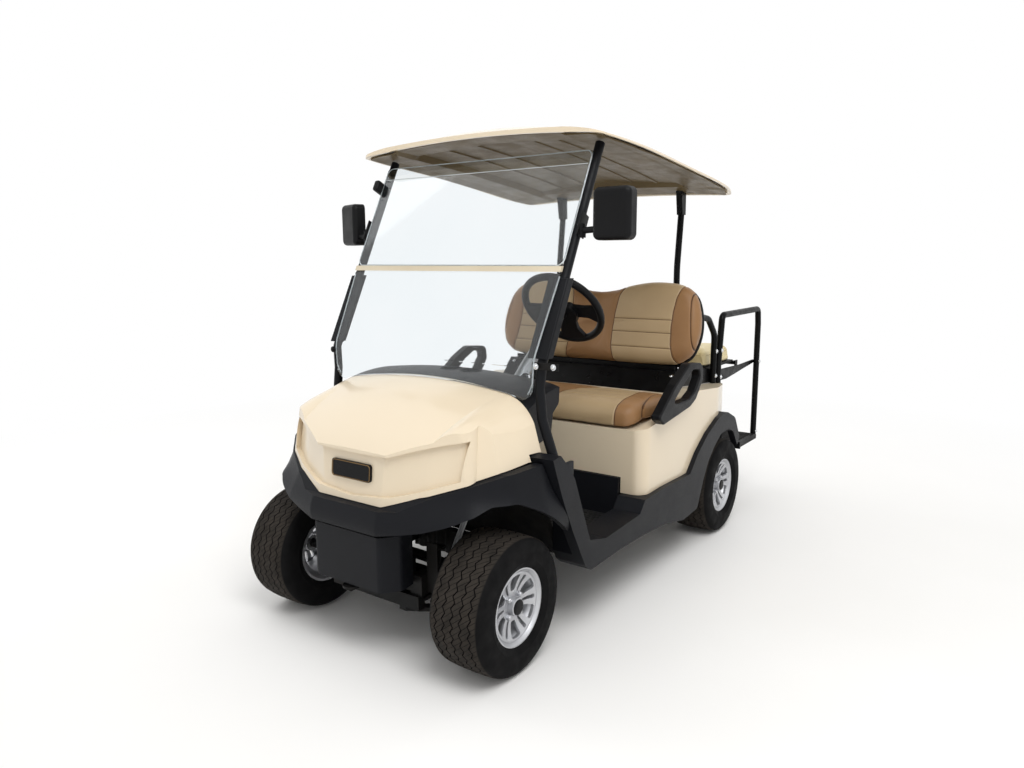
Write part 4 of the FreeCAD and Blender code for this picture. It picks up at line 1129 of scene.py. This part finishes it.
# Line where it folds: height, half width, depth
FOLD = (1652, 486, -31.5)
EDGE_R, FOLD_R = 2.8, 1.6
# Lower pane, just inside its outer edge: two places round its corner (x, z), then the edge from z to x
LOWER_CORNER, LOWER_EDGE = ((452, 884), (461, 898)), ((862, 466), (1283, 490))


def lower_edge_rays(side):
    """Rays back onto the lower pane along its outer edge, from its foot up."""
    places = LOWER_CORNER + tuple((along(LOWER_EDGE, z), z) for z in range(920, 1283, 12))
    return [(at(side * x, -100, z), BACK) for x, z in places]


def pane_edges():
    """Bright edges of the two clear panes, their brightness a painted highlight in the pale edge finish."""
    middle, half_x, half_z, corner, depth = UPPER_PANE
    upper = [pane_place(x, middle + z, depth) for x, z in rounded(half_x, half_z, corner)]
    level, half, fold_depth = FOLD
    fold = [pane_place(x, level, fold_depth) for x in (-half, 0, half)]
    bars = [bar_mesh(upper[:-1], EDGE_R, closed=True), bar_mesh(fold, FOLD_R)]
    for side in BOTH:
        line = [point + BACK * 0.003 for point in landed(NODES["windshield"], lower_edge_rays(side))]
        bars.append(bar_mesh(line, EDGE_R))
    piece("pane_edges", joined(bars), "clear_pane", "pane_edge")


# Dark rubber flaps under the front of the floor, put there as painted shade, clear of the steered wheels: x
# start, x end
FLAPS = ((-318, -220), (-184, 184), (220, 318))
# Their rows: z, share of the pleats, how far the lip stands out
FLAP_ROWS = ((284, 0.2, 0), (262, 1, 0), (200, 1, 0), (190, 1, 0), (186, 1, 6))
FLAP_BACK, FLAP_THICK, FLAP_PLEAT, PLEAT_DEEP = 298, 3, 46.0, 4.0


def flap_section(x):
    """Closed outline of a flap at one x: down its front, then up its rear side."""
    pleat = PLEAT_DEEP * math.sin(math.tau * x / FLAP_PLEAT)
    front = [at(x, FLAP_BACK + pleat * share + lip, z) for z, share, lip in FLAP_ROWS]
    return front + [point + BACK * (FLAP_THICK * MM) for point in reversed(front)]


def flap_mesh(start, end):
    count = max(round((end - start) / 8), 2)
    return skin([flap_section(start + (end - start) * i / count) for i in range(count + 1)])


def flaps():
    """Pleated dark rubber sheets under the front of the floor, put there as painted shade for the shadow
    under it.
    """
    meshes = [flap_mesh(start, end) for start, end in FLAPS]
    piece("painted_shade_flaps", joined(meshes), "floor_rubber")


# Rail under the seat back: size, middle (x, y, z)
RAIL = (((884, 4, 40), (0, 1390, 815)), ((884, 24, 4), (0, 1401, 796)))
RAIL_BOLTS = tuple((x, 1388, 806) for x in (-400, -200, 0, 200, 400))


def back_rail():
    """Folded strip that closes the slit between the carrier and the seat back."""
    parts = [block_mesh(size, at(*middle), None, 1.2) for size, middle in RAIL]
    parts += [bolt(at(*place), FRONT, 5.0) for place in RAIL_BOLTS]
    piece("seat_back_rail", joined(parts), "coated_black")


# Bead round the black shell: depth, radius, share of the edge line's width and height, its middle's height
BEAD_DEPTH, BEAD_R, BEAD_SHARE, BEAD_MIDDLE = 108, 9.5, (0.969, 0.97), 205


def shell_bead():
    """Rolled edge of the black shell behind the seat back."""
    wide, tall = BEAD_SHARE
    line = [on_back(p.x * wide, BEAD_DEPTH, BEAD_MIDDLE + (p.y - BEAD_MIDDLE) * tall)
            for p in whole(BACK_EDGE, 4)]
    bead = bar_mesh(line, BEAD_R, closed=True, sides=10)
    piece("seat_shell_bead", bead, "grip_black")


# Stage
def camera():
    forward = (CAMERA_TARGET - CAMERA_AT).normalized()
    right = DOWN.cross(forward).normalized()
    up = right.cross(forward)
    across = right * math.cos(CAMERA_ROLL) + up * math.sin(CAMERA_ROLL)
    upward = across.cross(forward)
    lens = bpy.data.cameras.new("camera")
    lens.sensor_fit = "HORIZONTAL"
    lens.sensor_width = 36.0
    lens.lens = CAMERA_LENS
    lens.clip_end = 200.0
    obj = placed("camera", lens)
    turned = Matrix((across, upward, -forward)).transposed().to_4x4()
    obj.matrix_world = Matrix.Translation(CAMERA_AT) @ turned
    SCENE.camera = obj


# Even light from straight below, level and straight above
AMBIENT = (0.25, 0.5, 0.85)


def world():
    """Soft light, stronger from above; white for the camera and for what metal and glass see."""
    world = bpy.data.worlds.new("studio")
    world.use_nodes = True
    SCENE.world = world
    nodes = Nodes(world.node_tree)
    background = world.node_tree.nodes["Background"]
    background.inputs["Color"].default_value = (1.0, 1.0, 1.0, 1.0)
    below, level, above = AMBIENT
    height = nodes.split(nodes.add("ShaderNodeTexCoord").outputs["Generated"])["Z"]
    light = nodes.math("ADD", nodes.range(height, -1.0, 0.0, below, level),
                       nodes.range(height, 0.0, 1.0, 0.0, above - level))
    strength = nodes.range(nodes.plainly_seen(), 0.0, 1.0, 0.0, 1.0)
    nodes.link(light, strength.node.inputs["To Min"])
    nodes.link(strength, background.inputs["Strength"])


# Where the lamps point
LAMPS_AIM = Vector((0, 0, 0.7))
# Area lamps: name, place, width, watts, whether it shows in reflections
LAMPS = (
    ("key", (2.6, -2.2, 4.8), 2.6, 130.0, True),
    ("fill", (-4.0, -1.0, 3.4), 3.0, 60.0, False),
    ("back", (0.5, 4.5, 4.0), 3.0, 50.0, False),
)


def lamps():
    for name, place, width, watts, reflected in LAMPS:
        light = bpy.data.lights.new(name, "AREA")
        light.size = width
        light.energy = watts
        obj = placed(name, light)
        obj.location = place
        obj.rotation_euler = (LAMPS_AIM - obj.location).to_track_quat("-Z", "Y").to_euler()
        obj.visible_glossy = reflected


FLOOR_HALF = 40.0
# Distance from the cart at which the floor begins to be plain white for the camera, and where it is
FLOOR_FADE = (1.7, 4.6)


def floor():
    """Pale floor that shows the cart's shadow and turns as white as the background further off."""
    corners = [(x * FLOOR_HALF, y * FLOOR_HALF, 0) for x, y in ((-1, -1), (1, -1), (1, 1), (-1, 1))]
    mesh = mesh_from(corners, [(0, 1, 2, 3)])
    finish = Finish("floor_pale", 0.8, specular_ior_level=0.1)
    finish.paint((244, 243, 241)).mottle((239, 238, 235), 1.2, 0.4)
    away = finish.add("ShaderNodeVectorMath", operation="LENGTH")
    finish.link(finish.where, away.inputs[0])
    far = finish.range(away.outputs["Value"], *FLOOR_FADE, 0.0, 1.0)
    mix = finish.add("ShaderNodeMixShader")
    finish.link(finish.math("MULTIPLY", finish.plainly_seen(), far), mix.inputs[0])
    finish.link(finish.shader.outputs[0], mix.inputs[1])
    finish.link(finish.add("ShaderNodeEmission").outputs[0], mix.inputs[2])
    finish.link(mix.outputs[0], finish.tree.nodes["Material Output"].inputs["Surface"])
    mesh.materials.append(finish.material)
    obj = placed("floor", mesh)
    obj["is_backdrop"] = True


def save_sizes():
    boxes = {"cad": CAD_BOX, "visual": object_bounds()}
    plain = {name: [list(corner) for corner in box] for name, box in boxes.items()}


dress_nodes()
tyres()
rims_of_alloy()
wheel_trim()
seat_back()
front_cushion()
rear_cushion()
rear_back()
bolts()
blocks()
ribs()
raised_edges()
key_switch()
pane_edges()
flaps()
back_rail()
shell_bead()
camera()
world()
lamps()
floor()
SCENE.view_settings.view_transform = "Standard"
save_sizes()
